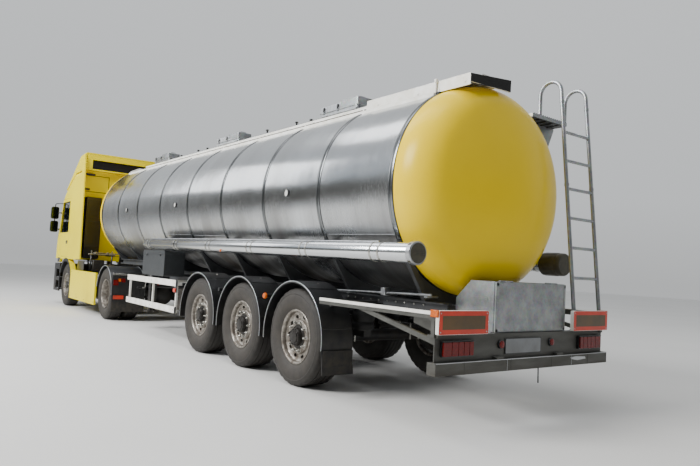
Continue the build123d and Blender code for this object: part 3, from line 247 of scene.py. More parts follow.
class Shape:
    """Gathers the faces of one piece, in metres and in place."""

    def __init__(self, finish):
        self.bm = bmesh.new()
        self.layer = self.bm.loops.layers.uv.new("UVMap")
        self.finishes = []
        self.use(finish)

    def use(self, finish):
        """Sets the finish of the faces that follow."""
        if finish not in self.finishes:
            self.finishes.append(finish)
        self.finish = self.finishes.index(finish)

    def add(self, points, faces, at=None, uvs=None):
        """Adds points and the faces between them, with the finish that is set."""
        made = [self.bm.verts.new(at @ Vector(p) if at else p) for p in points]
        for index, face in enumerate(faces):
            built = self.bm.faces.new([made[i] for i in face])
            built.material_index = self.finish
            if uvs:
                for loop, place in zip(built.loops, uvs[index]):
                    loop[self.layer].uv = place

    def box(self, low, high, ease=0.003, at=None):
        """A block between two corners with its edges eased."""
        low, high = [[f(a, b) for a, b in zip(low, high)] for f in (min, max)]
        ease = min([ease] + [(b - a) / 3 for a, b in zip(low, high)])
        points = []
        for corner in range(8):
            ends = [(high if corner >> axis & 1 else low)[axis] for axis in range(3)]
            inner = [e - ease if corner >> axis & 1 else e + ease for axis, e in enumerate(ends)]
            for axis in range(3):
                points.append([ends[a] if a == axis else inner[a] for a in range(3)])
        faces = []
        for axis in range(3):
            one, two = (axis + 1) % 3, (axis + 2) % 3
            a, b = 1 << one, 1 << two
            for bit in (0, 1 << axis):
                ring = [bit, bit | a, bit | a | b, bit | b]
                faces.append([c * 3 + axis for c in (ring if bit else ring[::-1])])
            for start in (0, a, b, a | b):
                end = start | 1 << axis
                faces.append([start * 3 + one, end * 3 + one, end * 3 + two, start * 3 + two])
        faces += [[c * 3, c * 3 + 1, c * 3 + 2] for c in range(8)]
        self.add(points, faces, at)

    def lathe(self, profile, at=None, segments=64, closed=False, notch=None):
        """Turns (along, radius) points round the local X axis; notch shifts a radius by place and step."""
        points, rings = [], []
        for a, r in profile:
            if r < 1e-6:
                rings.append([len(points)])
                points.append((a, 0, 0))
                continue
            rings.append(list(range(len(points), len(points) + segments)))
            for k in range(segments):
                turn = 2 * math.pi * k / segments
                rr = r - (notch(a, r, k) if notch else 0)
                points.append((a, rr * math.cos(turn), rr * math.sin(turn)))
        faces, uvs = [], []
        pairs = list(zip(rings, rings[1:])) + ([(rings[-1], rings[0])] if closed else [])
        for level, (one, two) in enumerate(pairs):
            v0, v1 = level / len(pairs), (level + 1) / len(pairs)
            for k in range(segments):
                n = (k + 1) % segments
                u0, u1 = k / segments, (k + 1) / segments
                corners = [(one[k], (u0, v0)), (one[n], (u1, v0))] if len(one) > 1 else [(one[0], (u0, v0))]
                corners += [(two[n], (u1, v1)), (two[k], (u0, v1))] if len(two) > 1 else [(two[0], (u0, v1))]
                if len(corners) > 2:
                    faces.append([index for index, place in corners])
                    uvs.append([place for index, place in corners])
        self.add(points, faces, at, uvs)

    def turned(self, steps, at=None, segments=64):
        """A solid turned round the local X axis, closed flat at both ends; steps are (along, radius)."""
        self.lathe([(steps[0][0], 0)] + list(steps) + [(steps[-1][0], 0)], at, segments)

    def ring(self, middle, half, inner, outer, at, segments):
        """A flat ring round the local X axis, half as long on each side of its middle."""
        a, b = middle - half, middle + half
        self.lathe([(a, inner), (a, outer), (b, outer), (b, inner)], at, segments, closed=True)

    def bolt(self, at, size):
        """A bolt head on the local X axis, sized by a row such as FRAME_BOLT."""
        radius, flat, top, tip, sides = size
        self.turned([(0, radius), (flat, radius), (top, tip)], at, sides)

    def tube(self, path, radius, sides=12, at=None, closed=False):
        """A round bar along a line of points."""
        path = [Vector(p) for p in path]
        count = len(path)
        points, faces = [], []
        normal = None
        for i, p in enumerate(path):
            after = path[(i + 1) % count] if closed or i < count - 1 else p
            before = path[i - 1] if closed or i else p
            along = (after - before).normalized()
            if normal is None:
                spare = Vector((0, 0, 1)) if abs(along.z) < 0.9 else Vector((1, 0, 0))
                normal = along.cross(spare).normalized()
            normal = (normal - along * normal.dot(along)).normalized()
            other = along.cross(normal)
            for k in range(sides):
                turn = 2 * math.pi * k / sides
                points.append(p + (normal * math.cos(turn) + other * math.sin(turn)) * radius)
        for i in range(count if closed else count - 1):
            a, b = i * sides, (i + 1) % count * sides
            for k in range(sides):
                n = (k + 1) % sides
                faces.append([a + k, a + n, b + n, b + k])
        if not closed:
            faces += [list(range(sides))[::-1], list(range((count - 1) * sides, count * sides))]
        self.add(points, faces, at)

    def rod(self, start, end, radius, sides=16, at=None, cap=0.0):
        """A straight round bar; cap eases its end rims."""
        a, b = Vector(start), Vector(end)
        turn = Vector((1, 0, 0)).rotation_difference((b - a).normalized()).to_matrix().to_4x4()
        place = Matrix.Translation(a) @ turn
        long = (b - a).length
        steps = [(0, radius - cap), (cap, radius), (long - cap, radius), (long, radius - cap)]
        self.turned(steps if cap else steps[1:3], at @ place if at else place, sides)

    def prism(self, outline, depth, at=None):
        """A plate with this outline in the local XY plane, depth along local Z."""
        count = len(outline)
        points = [(x, y, 0) for x, y in outline] + [(x, y, depth) for x, y in outline]
        faces = [list(range(count))[::-1], list(range(count, 2 * count))]
        faces += [[i, (i + 1) % count, (i + 1) % count + count, i + count] for i in range(count)]
        self.add(points, faces, at)

    def upright(self, outline, thick, y):
        """A plate along the vehicle with its middle at y; the outline is (x, z)."""
        self.prism(outline, thick, side_at(y + thick / 2))

    def panel(self, ys, zs, radius, x, depth, steps=4):
        """A round-cornered plate across the vehicle, its back at x and depth forward."""
        self.prism(rounded(*ys, *zs, radius, steps), depth, across_at(x))

    def ease_edges(self, width, angle=0.6, segments=1):
        """Bevels the edges that are sharper than an angle."""
        self.bm.normal_update()
        sharp = [e for e in self.bm.edges if len(e.link_faces) == 2 and e.calc_face_angle(0) > angle]
        bmesh.ops.bevel(self.bm, geom=sharp, offset=width, segments=segments, profile=0.6,
                        affect="EDGES", clamp_overlap=True)

    def take(self, other):
        """Adds the faces of another shape and frees it."""
        other.bm.verts.index_update()
        points = [vert.co.copy() for vert in other.bm.verts]
        self.add(points, [[vert.index for vert in face.verts] for face in other.bm.faces])
        other.bm.free()

    def mesh(self, name):
        """Closes the shape into a mesh with outward faces."""
        bmesh.ops.recalc_face_normals(self.bm, faces=self.bm.faces)
        mesh = bpy.data.meshes.new(name)
        self.bm.to_mesh(mesh)
        self.bm.free()
        for finish in self.finishes:
            mesh.materials.append(bpy.data.materials[finish])
        soften(mesh)
        return mesh

    def place(self, name, body, slot, *replaces):
        """Turns the shape into a placed piece."""
        return place_piece(name, self.mesh(name), body, slot, *replaces)


def place_piece(name, mesh, body, slot, *replaces):
    """Links a finished mesh, rides it on its body and hides the solids it replaces; the slot is not used."""
    piece = linked(name, mesh)
    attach(piece, body)
    if replaces:
        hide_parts(*replaces)
    return piece


def linked(name, mesh):
    """A new object in the scene."""
    item = bpy.data.objects.new(name, mesh)
    bpy.context.scene.collection.objects.link(item)
    return item


def applied(host, modifier, helper):
    """The host's mesh with its modifier's result; both objects are removed."""
    bpy.context.view_layer.update()
    seen = host.evaluated_get(bpy.context.evaluated_depsgraph_get())
    mesh = bpy.data.meshes.new_from_object(seen)
    host.modifiers.remove(modifier)
    for item in (helper, host):
        bpy.data.objects.remove(item)
    return mesh


# Repeats made with geometry nodes


def add_node(tree, kind, settings=None, links=None):
    """Adds a node, sets its properties or inputs, and links inputs from (node, output) pairs."""
    node = tree.nodes.new(kind)
    for key, value in (settings or {}).items():
        if isinstance(key, str) and hasattr(node, key):
            setattr(node, key, value)
        else:
            node.inputs[key].default_value = value
    for key, (source, output) in (links or {}).items():
        tree.links.new(source.outputs[output], node.inputs[key])
    return node


def repeat_tree(ring):
    """A tree that repeats a piece round a circle in the local YZ plane, or along a line."""
    name = "repeat round" if ring else "repeat along"
    if name in bpy.data.node_groups:
        return bpy.data.node_groups[name]
    tree = bpy.data.node_groups.new(name, "GeometryNodeTree")
    tree.is_modifier = True
    spread = ("Radius", "Float") if ring else ("Step", "Vector")
    for label, kind in (("Geometry", "Geometry"), ("Piece", "Object"), ("Finish", "Material"),
                        ("Count", "Int"), spread):
        tree.interface.new_socket(label, in_out="INPUT", socket_type="NodeSocket" + kind)
    tree.interface.new_socket("Geometry", in_out="OUTPUT", socket_type="NodeSocketGeometry")
    start = add_node(tree, "NodeGroupInput")
    piece = add_node(tree, "GeometryNodeObjectInfo", {"transform_space": "ORIGINAL"},
                     {"Object": (start, "Piece")})
    if ring:
        index = add_node(tree, "GeometryNodeInputIndex")
        share = add_node(tree, "ShaderNodeMath", {"operation": "DIVIDE"},
                         {0: (index, 0), 1: (start, "Count")})
        turn = add_node(tree, "ShaderNodeMath", {"operation": "MULTIPLY", 1: 2 * math.pi}, {0: (share, 0)})
        spin = add_node(tree, "ShaderNodeCombineXYZ", None, {"X": (turn, 0)})
        out = add_node(tree, "ShaderNodeCombineXYZ", None, {"Y": (start, "Radius")})
        spot = add_node(tree, "ShaderNodeVectorRotate", {"rotation_type": "X_AXIS"},
                        {"Vector": (out, 0), "Angle": (turn, 0)})
        places = add_node(tree, "GeometryNodePoints", None,
                          {"Count": (start, "Count"), "Position": (spot, 0)})
        copies = {"Rotation": (spin, 0)}
    else:
        places = add_node(tree, "GeometryNodeMeshLine", None,
                          {"Count": (start, "Count"), "Offset": (start, "Step")})
        copies = {}
    copies = add_node(tree, "GeometryNodeInstanceOnPoints", None,
                      {"Points": (places, 0), "Instance": (piece, "Geometry"), **copies})
    real = add_node(tree, "GeometryNodeRealizeInstances", None, {"Geometry": (copies, 0)})
    paint = add_node(tree, "GeometryNodeSetMaterial", None,
                     {"Geometry": (real, 0), "Material": (start, "Finish")})
    add_node(tree, "NodeGroupOutput", None, {"Geometry": (paint, 0)})
    return tree


def repeated(shape, count, spread, at=None):
    """Mesh of a shape repeated count times: spread is a ring's radius or a row's step, at a last shift."""
    ring = not isinstance(spread, tuple)
    tree = repeat_tree(ring)
    source = linked("repeat source", shape.mesh("repeat source"))
    host = linked("repeat host", bpy.data.meshes.new("repeat host"))
    modifier = host.modifiers.new("repeat", "NODES")
    modifier.node_group = tree
    values = {"Piece": source, "Finish": bpy.data.materials[shape.finishes[0]], "Count": int(count),
              "Radius" if ring else "Step": spread}
    for socket in tree.interface.items_tree:
        if socket.item_type == "SOCKET" and socket.in_out == "INPUT" and socket.name in values:
            modifier[socket.identifier] = values[socket.name]
    mesh = applied(host, modifier, source)
    soften(mesh)
    if at:
        mesh.transform(at)
    return mesh


def join_meshes(name, meshes):
    """One mesh from several placed copies, given as (mesh, matrix) pairs."""
    bm = bmesh.new()
    finishes = []
    for mesh, at in meshes:
        part = mesh.copy()
        part.transform(at)
        finishes += [finish for finish in part.materials if finish not in finishes]
        order = [finishes.index(finish) for finish in part.materials]
        for face in part.polygons:
            face.material_index = order[face.material_index] if order else 0
        bm.from_mesh(part)
        bpy.data.meshes.remove(part)
    joined = bpy.data.meshes.new(name)
    bm.to_mesh(joined)
    bm.free()
    for finish in finishes:
        joined.materials.append(finish)
    soften(joined)
    return joined


# Finishes


def texture(tree, kind, **settings):
    """A texture in the coordinates of the vehicle."""
    where = add_node(tree, "ShaderNodeTexCoord")
    return add_node(tree, kind, settings, {"Vector": (where, "Object")})


def emboss(tree, shader, height, strength, distance, **links):
    """Raises the surface by a (node, output) height."""
    relief = add_node(tree, "ShaderNodeBump", {"Strength": strength, "Distance": distance},
                      {"Height": height, **links})
    tree.links.new(relief.outputs[0], shader.inputs["Normal"])


def base_of(shader):
    """The (node, output) pair that colours a shader."""
    return shader.inputs["Base Color"].links[0].from_node, MIXED


def surface(name, colour, second, patch_mm, grain_mm, rough, bump_mm=0.0, stretch=(1, 1, 1), dust_and_shade=None,
            **constants):
    """A finish of two close colours in patches, with a fine grain and road dust low down.

    dust_and_shade is (colour, height it fades out at, strength).
    """
    material = bpy.data.materials.new(name)
    material.use_nodes = True
    tree = material.node_tree
    tree.nodes.clear()
    shader = add_node(tree, "ShaderNodeBsdfPrincipled", constants)
    add_node(tree, "ShaderNodeOutputMaterial", None, {"Surface": (shader, "BSDF")})
    where = add_node(tree, "ShaderNodeTexCoord")
    scaled = add_node(tree, "ShaderNodeMapping", {"Scale": stretch}, {"Vector": (where, "Object")})
    patches = add_node(tree, "ShaderNodeTexNoise",
                       {"Scale": 1000 / patch_mm, "Detail": 5.0, "Roughness": 0.6}, {"Vector": (scaled, 0)})
    grain = add_node(tree, "ShaderNodeTexNoise", {"Scale": 1000 / grain_mm, "Detail": 3.0},
                     {"Vector": (scaled, 0)})
    share = add_node(tree, "ShaderNodeMapRange", {"From Min": 0.35, "From Max": 0.7},
                     {"Value": (patches, "Fac")})
    first = hex_colour(colour) if isinstance(colour, str) else tuple(colour)
    paint = add_node(tree, "ShaderNodeMix",
                     {"data_type": "RGBA", COLOUR_A: first, COLOUR_B: hex_colour(second)},
                     {FACTOR: (share, 0)})
    low, high = rough
    gloss = add_node(tree, "ShaderNodeMapRange",
                     {"From Min": 0.3, "From Max": 0.75, "To Min": low, "To Max": high},
                     {"Value": (grain, "Fac")})
    # Darker tint low down: road dust on most finishes, painted shade and a painted reflection of the road on
    # the tank's sheet
    if dust_and_shade:
        shade, height, strength = dust_and_shade
        place = add_node(tree, "ShaderNodeSeparateXYZ", None, {"Vector": (where, "Object")})
        low_down = add_node(tree, "ShaderNodeMapRange", {"From Min": height, "From Max": 0.15, "To Min": 0.0,
                                                         "To Max": strength}, {"Value": (place, "Z")})
        cloud = add_node(tree, "ShaderNodeMapRange", {"From Min": 0.32, "From Max": 0.62},
                         {"Value": (patches, "Fac")})
        amount = add_node(tree, "ShaderNodeMath", {"operation": "MULTIPLY", "use_clamp": True},
                          {0: (low_down, 0), 1: (cloud, 0)})
        paint = add_node(tree, "ShaderNodeMix", {"data_type": "RGBA", COLOUR_B: hex_colour(shade)},
                         {FACTOR: (amount, 0), COLOUR_A: (paint, MIXED)})
        gloss = add_node(tree, "ShaderNodeMath", {"operation": "MULTIPLY_ADD", 1: 0.4, "use_clamp": True},
                         {0: (amount, 0), 2: (gloss, 0)})
    tree.links.new(paint.outputs[MIXED], shader.inputs["Base Color"])
    tree.links.new(gloss.outputs[0], shader.inputs["Roughness"])
    if bump_mm:
        emboss(tree, shader, (grain, "Fac"), 0.6, bump_mm / 1000)
    return tree, shader


def make_sheet_metals():
    """Stainless and zinc sheet, plates and straps."""
    # Polished stainless sheet: mirror-like, with fine lines round the tank and the waviness of thin sheet;
    # its dark brown tint low down is painted shade and a painted reflection of the road
    tree, shader = surface("polished stainless", "#C3C6C9", "#B3B5B6", 900, 2.5, (0.13, 0.25), 0.02,
                           stretch=(1, 0.03, 0.03), dust_and_shade=("#44382C", 2.35, 1.7), Metallic=1.0)
    brushed = next(n for n in tree.nodes if n.type == "BUMP")
    wave = texture(tree, "ShaderNodeTexNoise", Scale=1.7, Detail=1.5)
    emboss(tree, shader, (wave, "Fac"), 0.5, 0.018, Normal=(brushed, 0))
    # The hose tubes' thin drawn stainless: bright and even, without the sheet's waves
    surface("tube stainless", "#D3D6D8", "#C6C9CB", 700, 2.5, (0.16, 0.24), 0.01, stretch=(0.05, 1, 1),
            Metallic=1.0)
    # Satin stainless of small parts: the same metal brushed, so it shows lighter and duller than the sheet
    surface("brushed stainless", "#C8CACC", "#A4A6A8", 60, 1.2, (0.28, 0.42), 0.03, stretch=(1, 0.08, 0.08),
            Metallic=1.0)
    # Straps round the tank, duller than the sheet between them; their darker colour is painted shade along
    # the straps
    surface("strap stainless", "#85888A", "#6A6C6D", 60, 1.2, (0.18, 0.3), 0.02, stretch=(1, 0.08, 0.08),
            Metallic=1.0)
    # Hot-dip galvanised sheet: pale zinc with a cloudy spangle
    tree, shader = surface("galvanised sheet", "#B4B7B8", "#94989A", 140, 4, (0.32, 0.5), 0.03, Metallic=0.85)
    spangle = texture(tree, "ShaderNodeTexVoronoi", Scale=1000 / 22)
    tone = add_node(tree, "ShaderNodeMix", {"data_type": "RGBA", "blend_type": "MULTIPLY", FACTOR: 0.18},
                    {COLOUR_A: base_of(shader), COLOUR_B: (spangle, "Color")})
    tree.links.new(tone.outputs[MIXED], shader.inputs["Base Color"])
    # Aluminium tread plate with raised studs
    tree, shader = surface("tread plate", "#A9ACAD", "#8E9192", 160, 2, (0.3, 0.45), 0.0, Metallic=0.9)
    studs = texture(tree, "ShaderNodeTexVoronoi", Scale=1000 / 28, Randomness=0.1)
    raised = add_node(tree, "ShaderNodeMapRange",
                      {"From Min": 0.25, "From Max": 0.35, "To Min": 1.0, "To Max": 0.0},
                      {"Value": (studs, "Distance")})
    emboss(tree, shader, (raised, 0), 0.8, 0.0025)
    surface("dark grating steel", "#3C3D3D", "#2B2B2A", 90, 2, (0.4, 0.6), 0.04, Metallic=0.5)
    # Old zinc-plated bumper steel: grey, scuffed, with dirt along its lower edge
    surface("weathered steel", "#5E5E5A", "#454440", 220, 2, (0.4, 0.62), 0.06, stretch=(1, 0.35, 1.6),
            dust_and_shade=("#5B5347", 0.62, 0.7), Metallic=0.55)
    # Zinc-plated nuts: small bright facets
    surface("zinc plate", "#C9C8C2", "#9B988F", 15, 2, (0.22, 0.36), 0.02, Metallic=1.0)
    # Greasy cast hub: nearly black, wet in places
    surface("greasy iron", "#2B2723", "#15130F", 35, 3, (0.25, 0.6), 0.2, Metallic=0.4)
    # Cast iron of the engine and the drums
    surface("cast iron", "#3A3936", "#2A2724", 60, 4, (0.5, 0.7), 0.3, Metallic=0.5)


def make_paints():
    """Enamel, cab paint, chassis paint and the small painted parts."""
    colours = bpy.context.scene.tanker_colours
    # Sprayed enamel on the dished ends: high gloss, with a faint film of dust low down
    surface("yellow enamel", colours.tank_end, "#F2CE00", 1400, 1.5, (0.24, 0.32), 0.006,
            dust_and_shade=("#8F6A12", 1.55, 0.3), **{"Specular IOR Level": 0.18})
    # Two-coat cab paint
    surface("cab paint", colours.cab, "#E8D400", 1100, 1.5, (0.28, 0.4), 0.006,
            dust_and_shade=("#7A6428", 0.7, 0.3), **{"Specular IOR Level": 0.2})
    # Cream machine paint on rails: semi-gloss, rain-streaked
    surface("cream paint", colours.rails, "#E2DED0", 180, 3, (0.32, 0.5), 0.03, dust_and_shade=("#A8A091", 0.6, 0.3))
    # Brownish cream for a strip low on the side rail
    surface("aged cream paint", "#A8987A", "#8C7C62", 140, 3, (0.4, 0.6), 0.03)
    # Black chassis paint: satin, dusted by the road
    surface("black chassis paint", "#1B1C1E", "#26272A", 160, 3, (0.38, 0.55), 0.05,
            dust_and_shade=("#544C40", 1.0, 0.6))
    # Grey structural paint on the saddles and rails, darkened as painted shade for the shadow under the tank
    surface("grey chassis paint", "#4B4D4F", "#38393B", 240, 3, (0.38, 0.55), 0.05,
            dust_and_shade=("#5B5347", 1.05, 0.6))
    # Silver wheel paint: metallic flake, its colours darkened and warmed as painted shade for the shaded
    # wheel discs, under brown dust low down
    surface("silver wheel paint", "#A39E95", "#746D64", 60, 1.5, (0.26, 0.42), 0.03, Metallic=0.75,
            dust_and_shade=("#4E4238", 1.25, 0.75), **{"Coat Weight": 0.2})
    # Black lacquered aluminium of small fittings
    surface("black lacquer", "#101113", "#191A1C", 60, 2, (0.25, 0.4), 0.02, **{"Coat Weight": 0.3})
    # Olive-brown cast caps on the hose tubes
    surface("olive paint", "#4A4637", "#3A372C", 50, 3, (0.4, 0.6), 0.06)
    # White enamel of the gauge dials
    surface("white enamel", "#E4E4DF", "#D2D1CA", 40, 1, (0.2, 0.3), 0.0, **{"Coat Weight": 0.6})


def make_plastics():
    """Mudguards, boxes, tyres, flaps, seals and seat fabric."""
    # Moulded polypropylene of the mudguards: black, fine leather grain
    surface("moulded polypropylene", "#131416", "#1C1D1F", 120, 1.4, (0.32, 0.5), 0.12,
            dust_and_shade=("#4A443B", 0.95, 0.55))
    # Rotomoulded polyethylene of the boxes: dark grey, orange-peel skin
    surface("grey polyethylene", "#2C2F31", "#36393B", 90, 5, (0.4, 0.55), 0.2, dust_and_shade=("#5A5347", 1.1, 0.35))
    # Rubber sheet of the flaps, and seals
    surface("rubber sheet", "#171717", "#232220", 80, 2, (0.55, 0.75), 0.1, dust_and_shade=("#544C40", 0.6, 0.6))
    surface("sealing rubber", "#0E0E0E", "#1A1918", 40, 2, (0.6, 0.8), 0.06)
    # Tyre rubber: near black, dusty at the inner bead and in clouds
    tree, shader = surface("tyre rubber", "#191817", "#262422", 70, 2.2, (0.62, 0.85), 0.15)
    wear = add_node(tree, "ShaderNodeUVMap", {"uv_map": "UVMap"})
    split = add_node(tree, "ShaderNodeSeparateXYZ", None, {"Vector": (wear, 0)})
    cloud = texture(tree, "ShaderNodeTexNoise", Scale=9.0, Detail=6.0)
    band = add_node(tree, "ShaderNodeMapRange",
                    {"From Min": 0.02, "From Max": 0.2, "To Min": 0.55, "To Max": 0.05},
                    {"Value": (split, "Y")})
    much = add_node(tree, "ShaderNodeMath", {"operation": "MULTIPLY"}, {0: (band, 0), 1: (cloud, "Fac")})
    more = add_node(tree, "ShaderNodeMath", {"operation": "MULTIPLY_ADD", 1: 0.28, "use_clamp": True},
                    {0: (cloud, "Fac"), 2: (much, 0)})
    dusty = add_node(tree, "ShaderNodeMix", {"data_type": "RGBA", COLOUR_B: hex_colour("#4B443B")},
                     {FACTOR: (more, 0), COLOUR_A: base_of(shader)})
    tree.links.new(dusty.outputs[MIXED], shader.inputs["Base Color"])
    # Woven seat fabric: crossing threads 4 mm apart, drawn coarse so they show
    tree, shader = surface("woven fabric", "#3E4147", "#2F3237", 40, 3, (0.75, 0.9), 0.0,
                           **{"Sheen Weight": 0.4})
    where = add_node(tree, "ShaderNodeTexCoord")
    warp, weft = [add_node(tree, "ShaderNodeTexWave", {"Scale": 1000 / 4 / 6.3, "bands_direction": way},
                           {"Vector": (where, "Object")}) for way in ("Y", "DIAGONAL")]
    cross = add_node(tree, "ShaderNodeMath", {"operation": "MULTIPLY"}, {0: (warp, "Fac"), 1: (weft, "Fac")})
    emboss(tree, shader, (cross, 0), 0.7, 0.0012)


def make_lenses():
    """Reflective sheet, lenses, glass and mirrors."""
    board = bpy.context.scene.tanker_colours.board
    # Retroreflective sheet: honeycomb cells under a clear film
    # The reflective centre's dark brown colours are painted shade on the rear-facing boards
    for name, colour, second in (("reflective border", "#D8320C", "#C22A0A"),
                                 ("reflective centre", board, "#46340F"),
                                 ("blank plate sheet", "#7C8083", "#6A6E72")):
        tree, shader = surface(name, colour, second, 200, 2, (0.3, 0.45), 0.0, dust_and_shade=("#6F6250", 1.0, 0.35),
                               **{"Coat Weight": 0.4, "Coat Roughness": 0.2})
        cells = texture(tree, "ShaderNodeTexVoronoi", Scale=1000 / 7, feature="DISTANCE_TO_EDGE")
        emboss(tree, shader, (cells, "Distance"), 0.25, 0.0005)
    # Moulded acrylic lenses: clear coat over ribbed optics
    for name, colour, second in (("red acrylic", "#7A0804", "#4C0302"),
                                 ("orange acrylic", "#D9670C", "#B44F08"),
                                 ("clear acrylic", "#C9CED2", "#9DA3A8")):
        tree, shader = surface(name, colour, second, 12, 3, (0.1, 0.2), 0.0,
                               **{"Coat Weight": 0.25, "Coat Roughness": 0.03, "Specular IOR Level": 0.3})
        ribs = texture(tree, "ShaderNodeTexWave", Scale=1000 / 9 / 2, bands_direction="Z")
        emboss(tree, shader, (ribs, "Fac"), 0.5, 0.0015)
    # Tinted safety glass: dark, thin, slightly dusty
    surface("tinted glass", "#20292B", "#1A2224", 300, 6, (0.02, 0.07), 0.0,
            **{"Transmission Weight": 0.75, "IOR": 1.5, "Coat Weight": 1.0})
    # Silvered mirror glass
    surface("mirror glass", "#4A5450", "#3C4643", 200, 3, (0.06, 0.1), 0.0, Metallic=1.0)


def make_finishes():
    """Every finish, named for the real material."""
    make_sheet_metals()
    make_paints()
    make_plastics()
    make_lenses()
    # Pale matt studio surface
    surface("studio floor", bpy.context.scene.tanker_colours.floor, "#D4D3D0", 3000, 30, (0.75, 0.85), 0.0)


# Stage

# Tones of the studio by height, away from and beside the key light: (height, colour)
SKY_TONES = (((0.0, "#C9CBCC"), (0.12, "#DDE0E2"), (0.75, "#F4F7FA")),
             ((0.0, "#6A665F"), (0.035, "#3E3B34"), (0.16, "#55544C"), (0.24, "#B9C4CE"), (0.8, "#F7FAFF")))
# Soft lights: name, place, aim, size, power
LIGHTS = (("key", (0, 15, 11), (-2, 0, 1.6), (9, 6), 4700),
          ("fill", (-15, -4, 7), (-3, 0, 1.5), (8, 6), 90),
          ("top", (0, 3, 13), (0, 0, 2), (16, 4), 700),
          ("front", (14, 8, 9), (5, 0, 2), (6, 6), 350))
FLOOR_REACH = 60.0
# The photograph's camera, fitted to the wheels, bands and boards; angles in radians
EYE = (X_REAR_AXLE - 5.7513, 4.7670, 1.3031)
YAW, PITCH, ROLL = -0.6380, 0.0586, 0.0523
FOCAL_MM, SENSOR_MM = 31.41, 36.0


class TANKER_OT_stage(bpy.types.Operator):
    """Build the floor, the soft lights and the camera at the photograph's angle."""

    bl_idname = "tanker.stage"
    bl_label = "Stage"

    def execute(self, context):
        self.floor()
        self.sky(context.scene)
        self.lights()
        self.camera(context.scene)
        return {"FINISHED"}

    def floor(self):
        """A wide pale floor."""
        floor = bpy.data.meshes.new("studio floor")
        shape = bmesh.new()
        bmesh.ops.create_grid(shape, x_segments=8, y_segments=8, size=FLOOR_REACH)
        shape.to_mesh(floor)
        shape.free()
        floor.materials.append(bpy.data.materials["studio floor"])
        ground = linked("studio_floor", floor)

    def sky(self, scene):
        """Studio walls in two tones, darker behind the tail's side."""
        world = bpy.data.worlds.new("studio")
        world.use_nodes = True
        tree = world.node_tree
        tree.nodes.clear()
        where = add_node(tree, "ShaderNodeTexCoord")
        height = add_node(tree, "ShaderNodeSeparateXYZ", None, {"Vector": (where, "Generated")})
        tones = []
        for steps in SKY_TONES:
            blend = add_node(tree, "ShaderNodeValToRGB", None, {"Fac": (height, "Z")})
            ramp = blend.color_ramp
            for place, tone in steps[1:-1]:
                ramp.elements.new(place).color = hex_colour(tone)
            for end in (0, -1):
                place, tone = steps[end]
                ramp.elements[end].position = place
                ramp.elements[end].color = hex_colour(tone)
            tones.append(blend)
        side_on = add_node(tree, "ShaderNodeMapRange", {"From Min": 0.15, "From Max": 0.5},
                           {"Value": (height, "Y")})
        both = add_node(tree, "ShaderNodeMix", {"data_type": "RGBA"},
                        {FACTOR: (side_on, 0), COLOUR_A: (tones[0], 0), COLOUR_B: (tones[1], 0)})
        behind = add_node(tree, "ShaderNodeMapRange", {"From Min": -0.25, "From Max": -0.75, "To Min": 0.92,
                                                       "To Max": 0.13}, {"Value": (height, "X")})
        sky = add_node(tree, "ShaderNodeBackground", None, {"Color": (both, MIXED), "Strength": (behind, 0)})
        add_node(tree, "ShaderNodeOutputWorld", None, {"Surface": (sky, 0)})
        scene.world = world

    def lights(self):
        """Soft rectangular lights, each aimed at its spot."""
        for name, spot, aim, size, power in LIGHTS:
            lamp = bpy.data.lights.new(name, "AREA")
            lamp.shape = "RECTANGLE"
            lamp.size, lamp.size_y = size
            lamp.energy = power
            along = Vector(aim) - Vector(spot)
            turn = along.to_track_quat("-Z", "Y").to_matrix().to_4x4()
            linked(name, lamp).matrix_world = Matrix.Translation(spot) @ turn

    def camera(self, scene):
        """The camera that took the photograph."""
        ahead = Vector((math.cos(PITCH) * math.cos(YAW), math.cos(PITCH) * math.sin(YAW), math.sin(PITCH)))
        right = Vector((math.sin(YAW), -math.cos(YAW), 0))
        up = right.cross(ahead)
        rolled_right = right * math.cos(ROLL) + up * math.sin(ROLL)
        rolled_up = up * math.cos(ROLL) - right * math.sin(ROLL)
        lens = bpy.data.cameras.new("camera")
        lens.lens = FOCAL_MM
        lens.sensor_width = SENSOR_MM
        lens.clip_end = 300.0
        camera = linked("camera", lens)
        turn = Matrix((rolled_right, rolled_up, -ahead)).transposed().to_4x4()
        camera.matrix_world = Matrix.Translation(EYE) @ turn
        scene.camera = camera


# The solids that stay

CAD_FINISHES = {
    "cream paint": ("walkway", "side_guards"),
    "galvanised sheet": ("manlid_bases", "ladder", "cabinet", "cabinet_door"),
    "brushed stainless": ("lid_rear", "lid_middle", "lid_front"),
    "grey chassis paint": ("trailer_frame",),
    "black chassis paint": ("trailer_axles", "landing_legs", "tractor_frame", "tractor_axles"),
    "moulded polypropylene": ("trailer_fenders", "drive_fenders", "front_bumper"),
    "weathered steel": ("rear_bumper",),
    "grey polyethylene": ("valve_boxes", "dashboard"),
    "tyre rubber": ("spare_wheel",),
    "greasy iron": ("fifth_wheel",),
    "cast iron": ("engine", "knuckle_left", "knuckle_right"),
    "cab paint": ("side_skirts", "cab_shell", "air_deflectors", "door_left", "door_right"),
    "tinted glass": ("windscreen",),
    "black lacquer": ("intake_stack", "mirrors"),
}


class TANKER_OT_solids(bpy.types.Operator):
    """Give each solid that stays its real finish."""

    bl_idname = "tanker.solids"
    bl_label = "Solids"

    def execute(self, context):
        for finish, nodes in CAD_FINISHES.items():
            for name in nodes:
                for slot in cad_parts[name].material_slots:
                    slot.material = bpy.data.materials[finish]
        return {"FINISHED"}


# Tank

ENDS = ((0, -1), (BARREL, 1))   # foot of each dished end, and its way out
LAP = 0.002                     # how far trim sinks into the sheet
